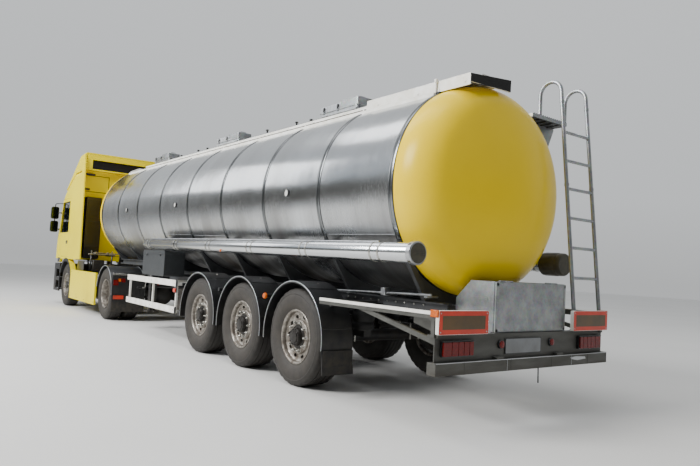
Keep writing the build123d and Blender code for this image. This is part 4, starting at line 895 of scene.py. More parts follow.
# Half a strap's section, (along, rise above the sheet)
STRAP_HALF = ((-0.031, 0), (-0.030, 0.0045), (-0.027, BAND_RISE), (-0.007, BAND_RISE), (-0.005, 0.0025))
STRAP = STRAP_HALF + tuple((-along, rise) for along, rise in reversed(STRAP_HALF))
STRAP_REACH = 0.032             # faces whose middle is nearer to a strap's middle are its own
SEAL_REACH = 0.034              # from a strap's middle to the dark lines beside it
SEAM_ANGLES = (28, 152, 207, 331)  # of the sheets' long welds, in degrees round the tank
GAUGES = (1.93, 5.56, 8.24)     # along the tank
GAUGE_H = -0.02                 # over the tank's axis


def dish_profile(foot, way):
    """Half section of a dished end from its seam to the crown, (along, radius)."""
    flange, knuckle, crown = 0.09, 0.38, 2.5
    ring = TANK_R - knuckle
    tip = math.asin(ring / (crown - knuckle))
    centre = -flange + (crown - knuckle) * math.cos(tip)
    points = [(foot, TANK_R), (foot + way * flange * 0.5, TANK_R)]
    for k in range(13):
        turn = (QUARTER - tip) * k / 12
        points.append((foot + way * (flange + knuckle * math.sin(turn)), ring + knuckle * math.cos(turn)))
    for k in range(1, 17):
        turn = tip * (1 - k / 16)
        points.append((foot + way * (crown * math.cos(turn) - centre), crown * math.sin(turn)))
    points[-1] = (points[-1][0], 0)
    return points


def band_places():
    """Middle of each strap along the tank."""
    return [min(max(bay * BAY, BAND_HALF), BARREL - BAND_HALF) for bay in range(BAYS + 1)]


class TANKER_OT_tank(bpy.types.Operator):
    """Build the stainless skin with its straps, the yellow ends, the gauges and the weld seams."""

    bl_idname = "tanker.tank"
    bl_label = "Tank"

    def execute(self, context):
        self.skin()
        ends = Shape("yellow enamel")
        for foot, way in ENDS:
            ends.lathe(dish_profile(foot, way) + [(foot, 0)], TANK, 160)
        ends.place("tank_end_shells", "trailer", "yellow_paint", "tank_ends")
        self.seals()
        self.gauges()
        return {"FINISHED"}

    def skin(self):
        """The barrel's sheet, and the straps round it in their own finish."""
        skin = Shape("polished stainless")
        steps = [(min(max(place + step, 0), BARREL), TANK_R + rise)
                 for place in band_places() for step, rise in STRAP]
        skin.turned([(0, TANK_R - LAP)] + steps + [(BARREL, TANK_R - LAP)], TANK, 200)
        skin.use("strap stainless")
        inverse = TANK.inverted()
        for face in skin.bm.faces:
            along = (inverse @ face.calc_center_median()).x
            if any(abs(along - place) <= STRAP_REACH for place in band_places()):
                face.material_index = skin.finish
        skin.place("tank_skin", "trailer", "stainless", "tank_barrel")

    def seals(self):
        """Dark lines beside each strap and round the foot of each end."""
        lines = Shape("sealing rubber")
        for place in band_places():
            for edge in (place - SEAL_REACH, place + SEAL_REACH):
                if 0.004 < edge < BARREL - 0.004:
                    lines.ring(edge, 0.003, TANK_R - LAP, TANK_R + 0.0012, TANK, 160)
        for foot, way in ENDS:
            lines.ring(foot + way * 0.006, 0.005, TANK_R - LAP, TANK_R + 0.002, TANK, 160)
        lines.place("tank_seals", "trailer", "black_plastic")

    def gauges(self):
        """The sheets' long weld seams and the round gauges on the left."""
        parts = Shape("brushed stainless")
        out = TANK_R + 0.0005
        for bay in range(BAYS):
            turn = math.radians(SEAM_ANGLES[bay % len(SEAM_ANGLES)])
            y, z = out * math.cos(turn), -out * abs(math.sin(turn))
            parts.rod((bay * BAY + 0.07, y, z), ((bay + 1) * BAY - 0.07, y, z), 0.003, 8, TANK)
        y = math.sqrt(TANK_R ** 2 - GAUGE_H ** 2) - 0.004
        for s in GAUGES:
            at = TANK @ facing_side(s, y, GAUGE_H, 1)
            parts.use("black lacquer")
            parts.turned([(0, 0.05), (0.016, 0.05), (0.02, 0.046), (0.02, 0.041), (0.012, 0.04)], at, 32)
            parts.use("white enamel")
            parts.lathe([(0.006, 0), (0.0115, 0.039), (0.0135, 0.039), (0.0135, 0)], at, 32)
        parts.place("tank_gauges", "trailer", "bare_metal")


# Wheels

# One sidewall from bead to shoulder, (outboard of the bead, radius)
SIDEWALL = ((0.0, 0.2845), (0.001, 0.299), (0.012, 0.312), (0.027, 0.335), (0.039, 0.365), (0.0455, 0.4),
            (0.045, 0.43), (0.041, 0.452), (0.0375, 0.462), (0.040, 0.466), (0.0395, 0.476), (0.036, 0.48),
            (0.032, 0.496), (0.027, 0.508), (0.02, 0.518), (0.008, 0.5265), (-0.008, 0.5298))
TYRE_R = 0.53
SHOULDER = 0.062                # width of the notched band at each edge of the tread
GROOVES = (0.52, 0.17, -0.17, -0.52)
LIP_IN, LIP, LIP_OUT = 0.2843, 0.296, 0.2985
NUT_CIRCLE, TWIN_NUT_CIRCLE = 0.1575, 0.162
HOLE_CIRCLE = 0.222
# Rims: half width, place of the disc, end and radius of the hub
TRAILER_RIM = (0.15, 0.07, 0.165, 0.102)
FRONT_RIM = (0.125, 0.04, 0.11, 0.094)
TWIN_RIM = (0.125, 0.12)        # half width, end of the hub
NUT_SEAT = 0.037                # the nuts' foot, outboard of the disc


def tyre_mesh(width, depth):
    """A tyre in its own frame: grooves round it, depth deep, and notched shoulders."""
    half = width / 2

    def notch(u, r, step):
        return 0.008 if step % 3 == 0 and abs(u) > half - SHOULDER and r > 0.5 else 0.0

    outer = [(half - 0.046 + u, r) for u, r in SIDEWALL]
    tread = []
    for share in GROOVES:
        middle = half * share
        tread += [(middle + 0.006, TYRE_R), (middle + 0.004, TYRE_R - depth),
                  (middle - 0.004, TYRE_R - depth), (middle - 0.006, TYRE_R)]
    inner = [(-u, r) for u, r in reversed(outer)]
    shape = Shape("tyre rubber")
    shape.lathe(outer + tread + inner, None, 96, closed=True, notch=notch)
    return shape.mesh("tyre")


def nut_ring(count, circle, along):
    """Wheel nuts with collars and stud ends, on a circle."""
    size = 0.0165
    nut = Shape("zinc plate")
    nut.turned([(0, size * 1.15), (0.004, size * 1.15), (0.007, size * 0.98)], None, 16)
    nut.turned([(0.006, size * 0.9), (0.026, size * 0.9), (0.029, size * 0.7)], None, 6)
    nut.turned([(0.028, size * 0.55), (0.04, size * 0.55), (0.042, size * 0.4)], None, 10)
    return repeated(nut, count, circle, along_x(along))


def cut_holes(mesh, count, radius, a, b, stretch):
    """The mesh with hand holes cut through its disc from a to b."""
    cutter = Shape("silver wheel paint")
    for k in range(count):
        turn = Matrix.Rotation(2 * math.pi * (k + 0.5) / count, 4, "X")
        spot = turn @ Matrix.Translation((0, 0, HOLE_CIRCLE)) @ Matrix.Diagonal((1, stretch, 1, 1))
        cutter.turned([(a, radius), (b, radius)], spot, 20)
    tool = linked("cutter", cutter.mesh("cutter"))
    host = linked("host", mesh)
    cut = host.modifiers.new("cut", "BOOLEAN")
    cut.object = tool
    cut.solver = "EXACT"
    result = applied(host, cut, tool)
    soften(result, 35)
    return result


def with_hub(holed, hub_steps, bolt_size, bolt_finish, bolt_count, circle, along):
    """A holed disc with its greasy hub and a ring of hub bolts, as one mesh."""
    hub = Shape("greasy iron")
    hub.turned(hub_steps, None, 40)
    bolt = Shape(bolt_finish)
    bolt.bolt(None, bolt_size)
    bolts = repeated(bolt, bolt_count, circle, along_x(along))
    return join_meshes("rim", [(part, Matrix.Identity(4)) for part in (holed, hub.mesh("hub"), bolts)])


def rim_mesh(half, disc, hub_out, hub_r):
    """Rim with its disc: wide bright lip, deep well and a disc with hand holes."""
    shape = Shape("silver wheel paint")
    lip = half - 0.012
    shape.lathe([
        (lip, LIP), (half - 0.003, LIP_OUT), (half, 0.294), (half, 0.286), (half - 0.004, 0.278),
        (half - 0.016, 0.270), (disc + 0.034, 0.264), (disc + 0.026, 0.252), (disc + 0.018, 0.23),
        (disc + 0.014, 0.205), (disc + 0.018, 0.19), (disc + 0.034, 0.184), (disc + 0.038, 0.178),
        (disc + 0.038, 0.0), (disc + 0.002, 0.0), (disc + 0.002, 0.2), (disc + 0.006, 0.235),
        (disc + 0.006, 0.262), (-half + 0.01, 0.262), (-half, 0.276), (-half, LIP), (-half + 0.005, LIP_OUT),
        (-lip, LIP), (-lip, LIP_IN), (lip, LIP_IN)], None, 80, closed=True)
    holed = cut_holes(shape.mesh("rim"), 10, 0.019, disc - 0.02, disc + 0.06, 1.5)
    seat = disc + 0.036
    hub = [(seat, hub_r + 0.03), (seat + 0.006, hub_r + 0.03), (seat + 0.01, hub_r + 0.012),
           (seat + 0.014, hub_r), (hub_out - 0.006, hub_r - 0.006), (hub_out, hub_r - 0.012),
           (hub_out, hub_r - 0.03), (hub_out + 0.008, hub_r - 0.034), (hub_out + 0.01, hub_r - 0.045)]
    return with_hub(holed, hub, DISC_BOLT, "greasy iron", 10, hub_r - 0.018, hub_out - 0.001)


def twin_rim_mesh(half, hub_out):
    """The deep bowl of a twin pair's outer rim, the inner rim behind it, and the drive hub."""
    shape = Shape("silver wheel paint")
    lip = half - 0.012
    face = 0.02
    for u in (TWIN_SPACING / 2, -TWIN_SPACING / 2):
        if u > 0:
            bowl = [(u + half - 0.004, 0.278), (u + half - 0.02, 0.27), (u - 0.02, 0.262),
                    (face + 0.03, 0.235), (face + 0.012, 0.205), (face, 0.19), (face, 0.0),
                    (face - 0.014, 0.0), (face - 0.014, 0.2), (face + 0.012, 0.245),
                    (u - half + 0.012, 0.268)]
        else:
            bowl = [(u + half, 0.276), (u + half - 0.01, 0.262), (u - half + 0.01, 0.262)]
        front = [(u + lip, LIP), (u + half - 0.003, LIP_OUT), (u + half, 0.294), (u + half, 0.286)]
        back = [(u - half, 0.276), (u - half, LIP), (u - half + 0.005, LIP_OUT), (u - lip, LIP),
                (u - lip, LIP_IN), (u + lip, LIP_IN)]
        shape.lathe(front + bowl + back, None, 80, closed=True)
    holed = cut_holes(shape.mesh("rim"), 8, 0.022, -0.03, 0.1, 1.4)
    hub = [(face - 0.002, 0.14), (face + 0.01, 0.138), (face + 0.016, 0.122), (hub_out - 0.03, 0.108),
           (hub_out - 0.012, 0.1), (hub_out, 0.08), (hub_out, 0.05), (hub_out + 0.006, 0.044)]
    return with_hub(holed, hub, HUB_BOLT, "zinc plate", 8, 0.118, face + 0.014)


class TANKER_OT_wheels(bpy.types.Operator):
    """Build every tyre with its tread, and every rim with its nuts and hub."""

    bl_idname = "tanker.wheels"
    bl_label = "Wheels"

    def execute(self, context):
        sizes = context.scene.tanker_sizes
        wide = tyre_mesh(TRAILER_TYRE, sizes.tread_depth)
        narrow = tyre_mesh(TRACTOR_TYRE, sizes.tread_depth)
        nuts = sizes.wheel_nuts
        trailer_set, front_set = [(rim_mesh(*rim), nut_ring(nuts, NUT_CIRCLE, rim[1] + NUT_SEAT))
                                  for rim in (TRAILER_RIM, FRONT_RIM)]
        twin_set = (twin_rim_mesh(*TWIN_RIM), nut_ring(nuts, TWIN_NUT_CIRCLE, 0.02))
        trailer_y = TYRE_FACE - TRAILER_TYRE / 2
        front_y = TYRE_FACE - TRACTOR_TYRE / 2
        drive_y = front_y - TWIN_SPACING / 2
        twins = [(narrow, -TWIN_SPACING / 2), (narrow, TWIN_SPACING / 2)]
        for hand, side in SIDES:
            for number, x in enumerate(AXLES, 1):
                self.mount(f"trailer_{number}_{side}", wheel_at(x, hand * trailer_y, hand), [(wide, 0)],
                           *trailer_set)
            self.mount(f"front_{side}", wheel_at(X_STEER, hand * front_y, hand), [(narrow, 0)], *front_set)
            self.mount(f"drive_{side}", wheel_at(X_DRIVE, hand * drive_y, hand), twins, *twin_set)
        return {"FINISHED"}

    def mount(self, name, at, tyres, rim, nuts):
        """Places one wheel's tyres, rim and nuts; tyres are (mesh, shift outboard) pairs."""
        body = "wheel_" + name
        many = "s" if len(tyres) > 1 else ""
        rubber = join_meshes(name + "_treads", [(mesh, at @ along_x(u)) for mesh, u in tyres])
        place_piece(name + "_treads", rubber, body, "tyre_rubber", f"tyre{many}_{name}")
        place_piece(name + "_disc", join_meshes(name + "_disc", [(rim, at)]), body, "silver_paint",
                    f"rim{many}_{name}")
        place_piece(name + "_nuts", join_meshes(name + "_nuts", [(nuts, at)]), body, "bare_metal")


# Top of the tank and the ladder

DECK_H = TANK_R + 0.0224        # the deck's top, over the tank's axis
DECK_BACK, DECK_FRONT = -0.376, 8.996
DECK_LEFT, DECK_RIGHT = 0.326, -0.069
RAIL_STEP = 1.2                 # where the side rail steps down
RAIL_TOP = 1.012
RAIL_FACE = 0.504
MANHOLES = (("rear", 0.635), ("middle", 3.915), ("front", 7.150))
COVER_Y = 0.225
# Valves on the deck: along the tank, y, height
DECK_VALVES = ((2.72, 0.3, 0.03), (3.17, 0.26, 0.068), (4.04, 0.26, 0.075), (6.22, 0.3, 0.035),
               (6.64, 0.3, 0.04), (7.6, 0.26, 0.05))
LADDER_X, LADDER_Z, LADDER_LEAN = X_TAIL + 0.102, 0.8024, 0.0978
LADDER_NEAR, LADDER_FAR = -0.805, -1.26
RUNGS = (1.33, 1.64, 1.95, 2.26, 2.56, 2.87)


class TANKER_OT_top(bpy.types.Operator):
    """Dress the walkway, the manholes and the ladder with their gratings, clamps and grips."""

    bl_idname = "tanker.top"
    bl_label = "Top"

    def execute(self, context):
        self.grating(context.scene.tanker_sizes.grating_step)
        self.edges()
        self.valves()
        for name, x in MANHOLES:
            self.manhole(name, (X_REAR_AXLE + x - SEAM_X) / math.cos(TANK_SLOPE), COVER_Y)
        self.ladder()
        self.platform()
        return {"FINISHED"}

    def grating(self, step):
        """The deck's cross bars, the runners under them and the clips along the side rail."""
        bar = Shape("tread plate")
        bar.box((0, DECK_RIGHT, DECK_H), (0.006, DECK_LEFT, DECK_H + 0.012), 0.001)
        count = int((DECK_FRONT - DECK_BACK) / step)
        slats = repeated(bar, count, (step, 0, 0), TANK @ along_x(DECK_BACK + 0.004))
        place_piece("walkway_grating", slats, "trailer", "bare_metal")
        runs = Shape("tread plate")
        lines = 7
        for k in range(lines):
            y = DECK_RIGHT + (DECK_LEFT - DECK_RIGHT) * (k + 0.5) / lines
            runs.box((DECK_BACK + 0.002, y - 0.003, DECK_H), (DECK_FRONT - 0.002, y + 0.003, DECK_H + 0.01),
                     0.001, TANK)
        runs.place("walkway_runners", "trailer", "bare_metal")
        clip = Shape("cream paint")
        clip.box((0, 0.5102, 0.988), (0.03, 0.513, 1.008), 0.001)
        clip.bolt(facing_side(0.015, 0.512, 0.998, 1), CLIP_BOLT)
        gaps = 14
        clips = repeated(clip, gaps + 1, ((DECK_FRONT - DECK_BACK - 0.1) / gaps, 0, 0),
                         TANK @ along_x(DECK_BACK + 0.035))
        place_piece("walkway_clips", clips, "trailer", "cream_paint")

    def edges(self):
        """Beads and foot of the side rail with dark lines of painted shade along it, the ribbed end board
        black as painted shade, and the straps' brackets.
        """
        edge = Shape("cream paint")
        for start, end, h in ((RAIL_STEP, DECK_FRONT, RAIL_TOP),
                              (DECK_BACK - 0.01, RAIL_STEP, RAIL_TOP + 0.06)):
            edge.rod((start, RAIL_FACE, h), (end, RAIL_FACE, h), 0.007, 10, TANK, 0.002)
        for y in (0.548, -0.2):
            h = math.sqrt(TANK_R ** 2 - y ** 2)
            edge.box((0.05, y - 0.012, h - 0.012), (BARREL - 0.05, y + 0.012, h + 0.03), 0.003, TANK)
        # Painted shade: a dark slot along the rail's foot where it meets the tank, and a dark line under the
        # rail's bead
        edge.use("sealing rubber")
        edge.box((0.02, 0.503, 0.948), (BARREL - 0.02, 0.507, 0.963), 0.001, TANK)
        edge.box((RAIL_STEP + 0.01, 0.5101, 0.977), (DECK_FRONT - 0.004, 0.5116, 0.986), 0.0004, TANK)
        # A brownish strip low on the rail plate
        edge.use("aged cream paint")
        edge.box((RAIL_STEP + 0.01, 0.5101, 0.9635), (DECK_FRONT - 0.004, 0.5111, 0.9765), 0.0004, TANK)
        # The deck's rear end board and its ribs, black as painted shade on the rear-facing board
        edge.use("sealing rubber")
        edge.prism([(0.5, 0.992), (0.506, 0.992), (0.506, 1.07), (-0.079, 1.127), (-0.079, 1.01)], 0.003,
                   TANK @ across_at(-0.3945))
        for k in range(5):
            h = 1.112 - 0.022 * k
            edge.prism([(0.5, h - 0.053), (0.5, h - 0.046), (-0.078, h + 0.008), (-0.078, h)], 0.002,
                       TANK @ across_at(-0.3965))
        for place in band_places():
            edge.use("sealing rubber")
            edge.box((place - 0.03, 0.5, 0.925), (place + 0.03, 0.53, 0.961), 0.003, TANK)
            edge.use("cream paint")
            edge.box((place - 0.012, 0.51, 0.93), (place + 0.012, 0.514, 1.0), 0.002, TANK)
        edge.place("walkway_edges", "trailer", "cream_paint")

    def valves(self):
        """Small air valves and breathers standing along the deck, and the stanchion at the rear seam."""
        taps = Shape("black lacquer")
        for s, y, tall in DECK_VALVES:
            taps.use("black lacquer")
            taps.turned([(0, 0.024), (0.006, 0.024), (0.008, 0.014), (tall - 0.018, 0.014),
                         (tall - 0.014, 0.026), (tall, 0.026), (tall + 0.006, 0.018)],
                        TANK @ facing_up(s, y, DECK_H + 0.008), 20)
            taps.use("zinc plate")
            h = DECK_H + tall - 0.006
            taps.rod((s - 0.045, y, h), (s + 0.03, y, h), 0.006, 8, TANK, 0.001)
        taps.use("cream paint")
        taps.rod((0.06, 0.522, 0.93), (0.06, 0.522, 1.085), 0.012, 14, TANK, 0.004)
        taps.rod((0.06, 0.522, 1.06), (0.06, 0.522, 1.1), 0.02, 16, TANK, 0.006)
        taps.place("deck_valves", "trailer", "dark_paint")

    def manhole(self, name, s, y):
        """Housing, latches, caps and grip riding on one lid, and the strips and catches of its base."""
        low, high = TANK_R + 0.0753, TANK_R + 0.173
        latches = (s - 0.015, s + 0.3)
        lid = Shape("galvanised sheet")
        lid.prism(rounded(s - 0.437, s - 0.055, y - 0.127, y + 0.127, 0.022), high - low,
                  TANK @ Matrix.Translation((0, 0, low + 0.006)))
        lid.ease_edges(0.006, 1.0)
        lid.use("black lacquer")
        for x in latches:
            for hand in (-1, 1):
                tip = y + hand * 0.136
                lid.rod((x, y + hand * 0.11, low + 0.052), (x, tip, low + 0.052), 0.021, 18, TANK, 0.004)
                lid.box((x - 0.009, tip - 0.006, low + 0.006), (x + 0.009, tip + 0.006, low + 0.05), 0.003,
                        TANK)
        lid.use("brushed stainless")
        for x in (s + 0.08, s + 0.22):
            lid.turned([(0, 0.042), (0.01, 0.042), (0.016, 0.032), (0.022, 0.03)],
                       TANK @ facing_up(x, y, high - 0.002), 24)
        grip, foot, top = s - 0.36, high - 0.01, high + 0.03
        lid.tube(bent([(grip, y - 0.05, foot), (grip, y - 0.05, top), (grip, y + 0.05, top),
                       (grip, y + 0.05, foot)], 0.015), 0.006, 8, TANK)
        lid.place(f"lid_{name}_plate", f"lid_{name}", "bare_metal")
        fittings = Shape("brushed stainless")
        for hand in (-1, 1):
            fittings.use("brushed stainless")
            fittings.box((s - 0.4, y + hand * 0.118, DECK_H + 0.004),
                         (s + 0.38, y + hand * 0.124, DECK_H + 0.034), 0.002, TANK)
            fittings.use("black lacquer")
            for x in latches:
                fittings.box((x - 0.014, y + hand * 0.115, DECK_H + 0.03),
                             (x + 0.014, y + hand * 0.127, low - 0.012), 0.003, TANK)
        fittings.place(f"manhole_{name}_fittings", "trailer", "bare_metal")

    def ladder(self):
        """Grips on the rungs, feet and collars."""
        grips = Shape("galvanised sheet")
        ribs = 9
        for z in RUNGS:
            x = LADDER_X + LADDER_LEAN * (z - LADDER_Z)
            for k in range(ribs):
                y = LADDER_FAR + 0.05 + (LADDER_NEAR - LADDER_FAR - 0.1) * k / (ribs - 1)
                grips.rod((x, y - 0.008, z), (x, y + 0.008, z), 0.0175, 10, None, 0.001)
        for y in (LADDER_NEAR, LADDER_FAR):
            grips.box((LADDER_X - 0.035, y - 0.035, 0.8), (LADDER_X + 0.04, y + 0.035, 0.812), 0.003)
            grips.turned([(0, 0.03), (0.03, 0.026), (0.04, 0.0215)], facing_up(LADDER_X, y, 0.81), 16)
            for z in (2.3, 3.2):
                at = facing_up(LADDER_X + LADDER_LEAN * (z - LADDER_Z), y, z)
                grips.ring(0, 0.014, 0.0215, 0.025, at, 16)
        grips.place("ladder_grips", "trailer", "bare_metal")

    def platform(self):
        """Grating, tread, ribs and edge strips of the step-off platform."""
        back, front = SEAM_X - 0.262, SEAM_X + 0.1
        bar = Shape("dark grating steel")
        bar.box((back + 0.004, -1.256, 3.0895), (front - 0.004, -1.251, 3.101), 0.001)
        place_piece("platform_grating", repeated(bar, 16, (0, 0.038, 0)), "trailer", "dark_paint")
        tread = Shape("dark grating steel")
        tread.box((back + 0.006, -1.25, 3.044), (front - 0.006, -0.646, 3.0505), 0.001)
        tread.use("black lacquer")
        for y in (-1.13, -1.01, -0.89, -0.77):
            tread.box((back + 0.01, y - 0.004, 3.036), (front - 0.01, y + 0.004, 3.045), 0.001)
        tread.use("cream paint")
        for y0, y1 in ((-1.2604, -1.2594), (-0.6406, -0.6394)):
            tread.box((back + 0.002, y0, 3.053), (front - 0.002, y1, 3.087), 0.0004)
        tread.place("platform_underside", "trailer", "dark_paint")


# Hose tubes

HOSE_Y = 1.145
HOSE_DROP = -0.683              # under the tank's axis
HOSE_R = 0.092
HOSE_BACK, HOSE_FRONT = -0.462, 6.568


class TANKER_OT_hoses(bpy.types.Operator):
    """Build the hose tubes with their collars, caps and clamp bands."""

    bl_idname = "tanker.hoses"
    bl_label = "Hose tubes"

    def execute(self, context):
        tubes = Shape("tube stainless")
        clamps = Shape("zinc plate")
        for hand in HANDS:
            at = TANK @ Matrix.Translation((0, hand * HOSE_Y, HOSE_DROP))
            end = HOSE_BACK if hand > 0 else -0.14
            tubes.use("tube stainless")
            tubes.turned([(end, HOSE_R - 0.004), (end + 0.01, HOSE_R), (HOSE_FRONT - 0.01, HOSE_R),
                          (HOSE_FRONT, HOSE_R - 0.006)], at, 64)
            if hand > 0:
                self.collar(tubes, at)
            else:
                self.cap(tubes, at)
            self.clamps(clamps, hand, at)
        tubes.place("hose_tube_shells", "trailer", "bare_metal", "hose_tubes")
        clamps.place("hose_tube_clamps", "trailer", "bare_metal")
        return {"FINISHED"}

    def clamps(self, clamps, hand, at):
        """Pairs of bands at each strap, the side lamp, and the rail along the tube's top."""
        clamps.use("zinc plate")
        for s in [0.03] + [bay * BAY for bay in range(1, 6)]:
            for middle in (s - 0.06, s + 0.06):
                clamps.ring(middle, 0.012, HOSE_R - 0.002, HOSE_R + 0.0035, at, 48)
        clamps.use("orange acrylic")
        clamps.lathe([(0, 0), (0, 0.02), (0.008, 0.018), (0.01, 0.0)],
                     at @ facing_side(3.35, hand * 0.075, -0.058, hand), 16)
        clamps.use("brushed stainless")
        y, z = hand * (HOSE_Y - 0.03), HOSE_DROP + 0.098
        clamps.rod((0.1, y, z), (HOSE_FRONT - 0.05, y, z), 0.007, 8, TANK, 0.001)
        feet = 12
        for k in range(feet):
            s = 0.14 + k * (HOSE_FRONT - 0.25) / (feet - 1)
            clamps.box((s - 0.008, y - 0.006, z - 0.014), (s + 0.008, y + 0.006, z - 0.001), 0.002, TANK)

    def collar(self, tubes, at):
        """The left tube's end: a bright collar round a brown pressed cover with a cross bar."""
        back = HOSE_BACK
        tubes.use("brushed stainless")
        tubes.lathe([(back - 0.02, 0.0), (back - 0.02, 0.098), (back - 0.014, 0.105), (back + 0.034, 0.106),
                     (back + 0.04, 0.1), (back + 0.044, HOSE_R)], at, 64)
        tubes.use("olive paint")
        tubes.turned([(back - 0.0205, 0.086), (back - 0.02, 0.09), (back - 0.018, 0.09)], at, 48)
        tubes.box((back - 0.0235, -0.07, -0.01), (back - 0.019, 0.07, 0.01), 0.002, at)
        for angle in (0.6, 2.54, 3.9, 5.5):
            tubes.box((back - 0.004, -0.012, 0.1), (back + 0.03, 0.012, 0.1075), 0.002,
                      at @ Matrix.Rotation(angle, 4, "X"))

    def cap(self, tubes, at):
        """The right tube's end: a long olive cap with a ribbed rim."""
        back, front, wide = -0.386, -0.116, 0.127
        tubes.use("olive paint")
        tubes.lathe([(back, 0), (back, wide - 0.012), (back + 0.012, wide - 0.002), (back + 0.05, wide),
                     (back + 0.056, wide - 0.005), (back + 0.066, wide - 0.005), (back + 0.072, wide),
                     (front - 0.012, wide), (front, wide - 0.012), (front, 0.09)], at, 64)
        for angle in range(0, 360, 30):
            tubes.box((back + 0.08, -0.006, wide - 0.002), (front - 0.02, 0.006, wide + 0.003), 0.002,
                      at @ Matrix.Rotation(math.radians(angle), 4, "X"))


# Running gear

GUARD_R = 0.614                 # outer face of the trailer's mudguards, round the wheel's centre
GUARD_TOE, GUARD_HEEL = -7, 187  # ends of its edge strip, in degrees from forward
BELLOWS = ((0.0, 0.112), (0.02, 0.126), (0.045, 0.13), (0.07, 0.122), (0.085, 0.114), (0.1, 0.122),
           (0.125, 0.131), (0.155, 0.131), (0.185, 0.12), (0.195, 0.112), (0.2, 0.1))
CHAMBER = ((0, 0.05), (0.02, 0.075), (0.055, 0.08), (0.06, 0.086), (0.07, 0.086), (0.075, 0.08),
           (0.11, 0.076), (0.13, 0.066), (0.19, 0.062), (0.2, 0.05))
RESERVOIR = ((0, 0), (0.008, 0.05), (0.03, 0.1), (0.06, 0.122), (0.08, 0.125), (0.72, 0.125), (0.74, 0.122),
             (0.77, 0.1), (0.792, 0.05), (0.8, 0))


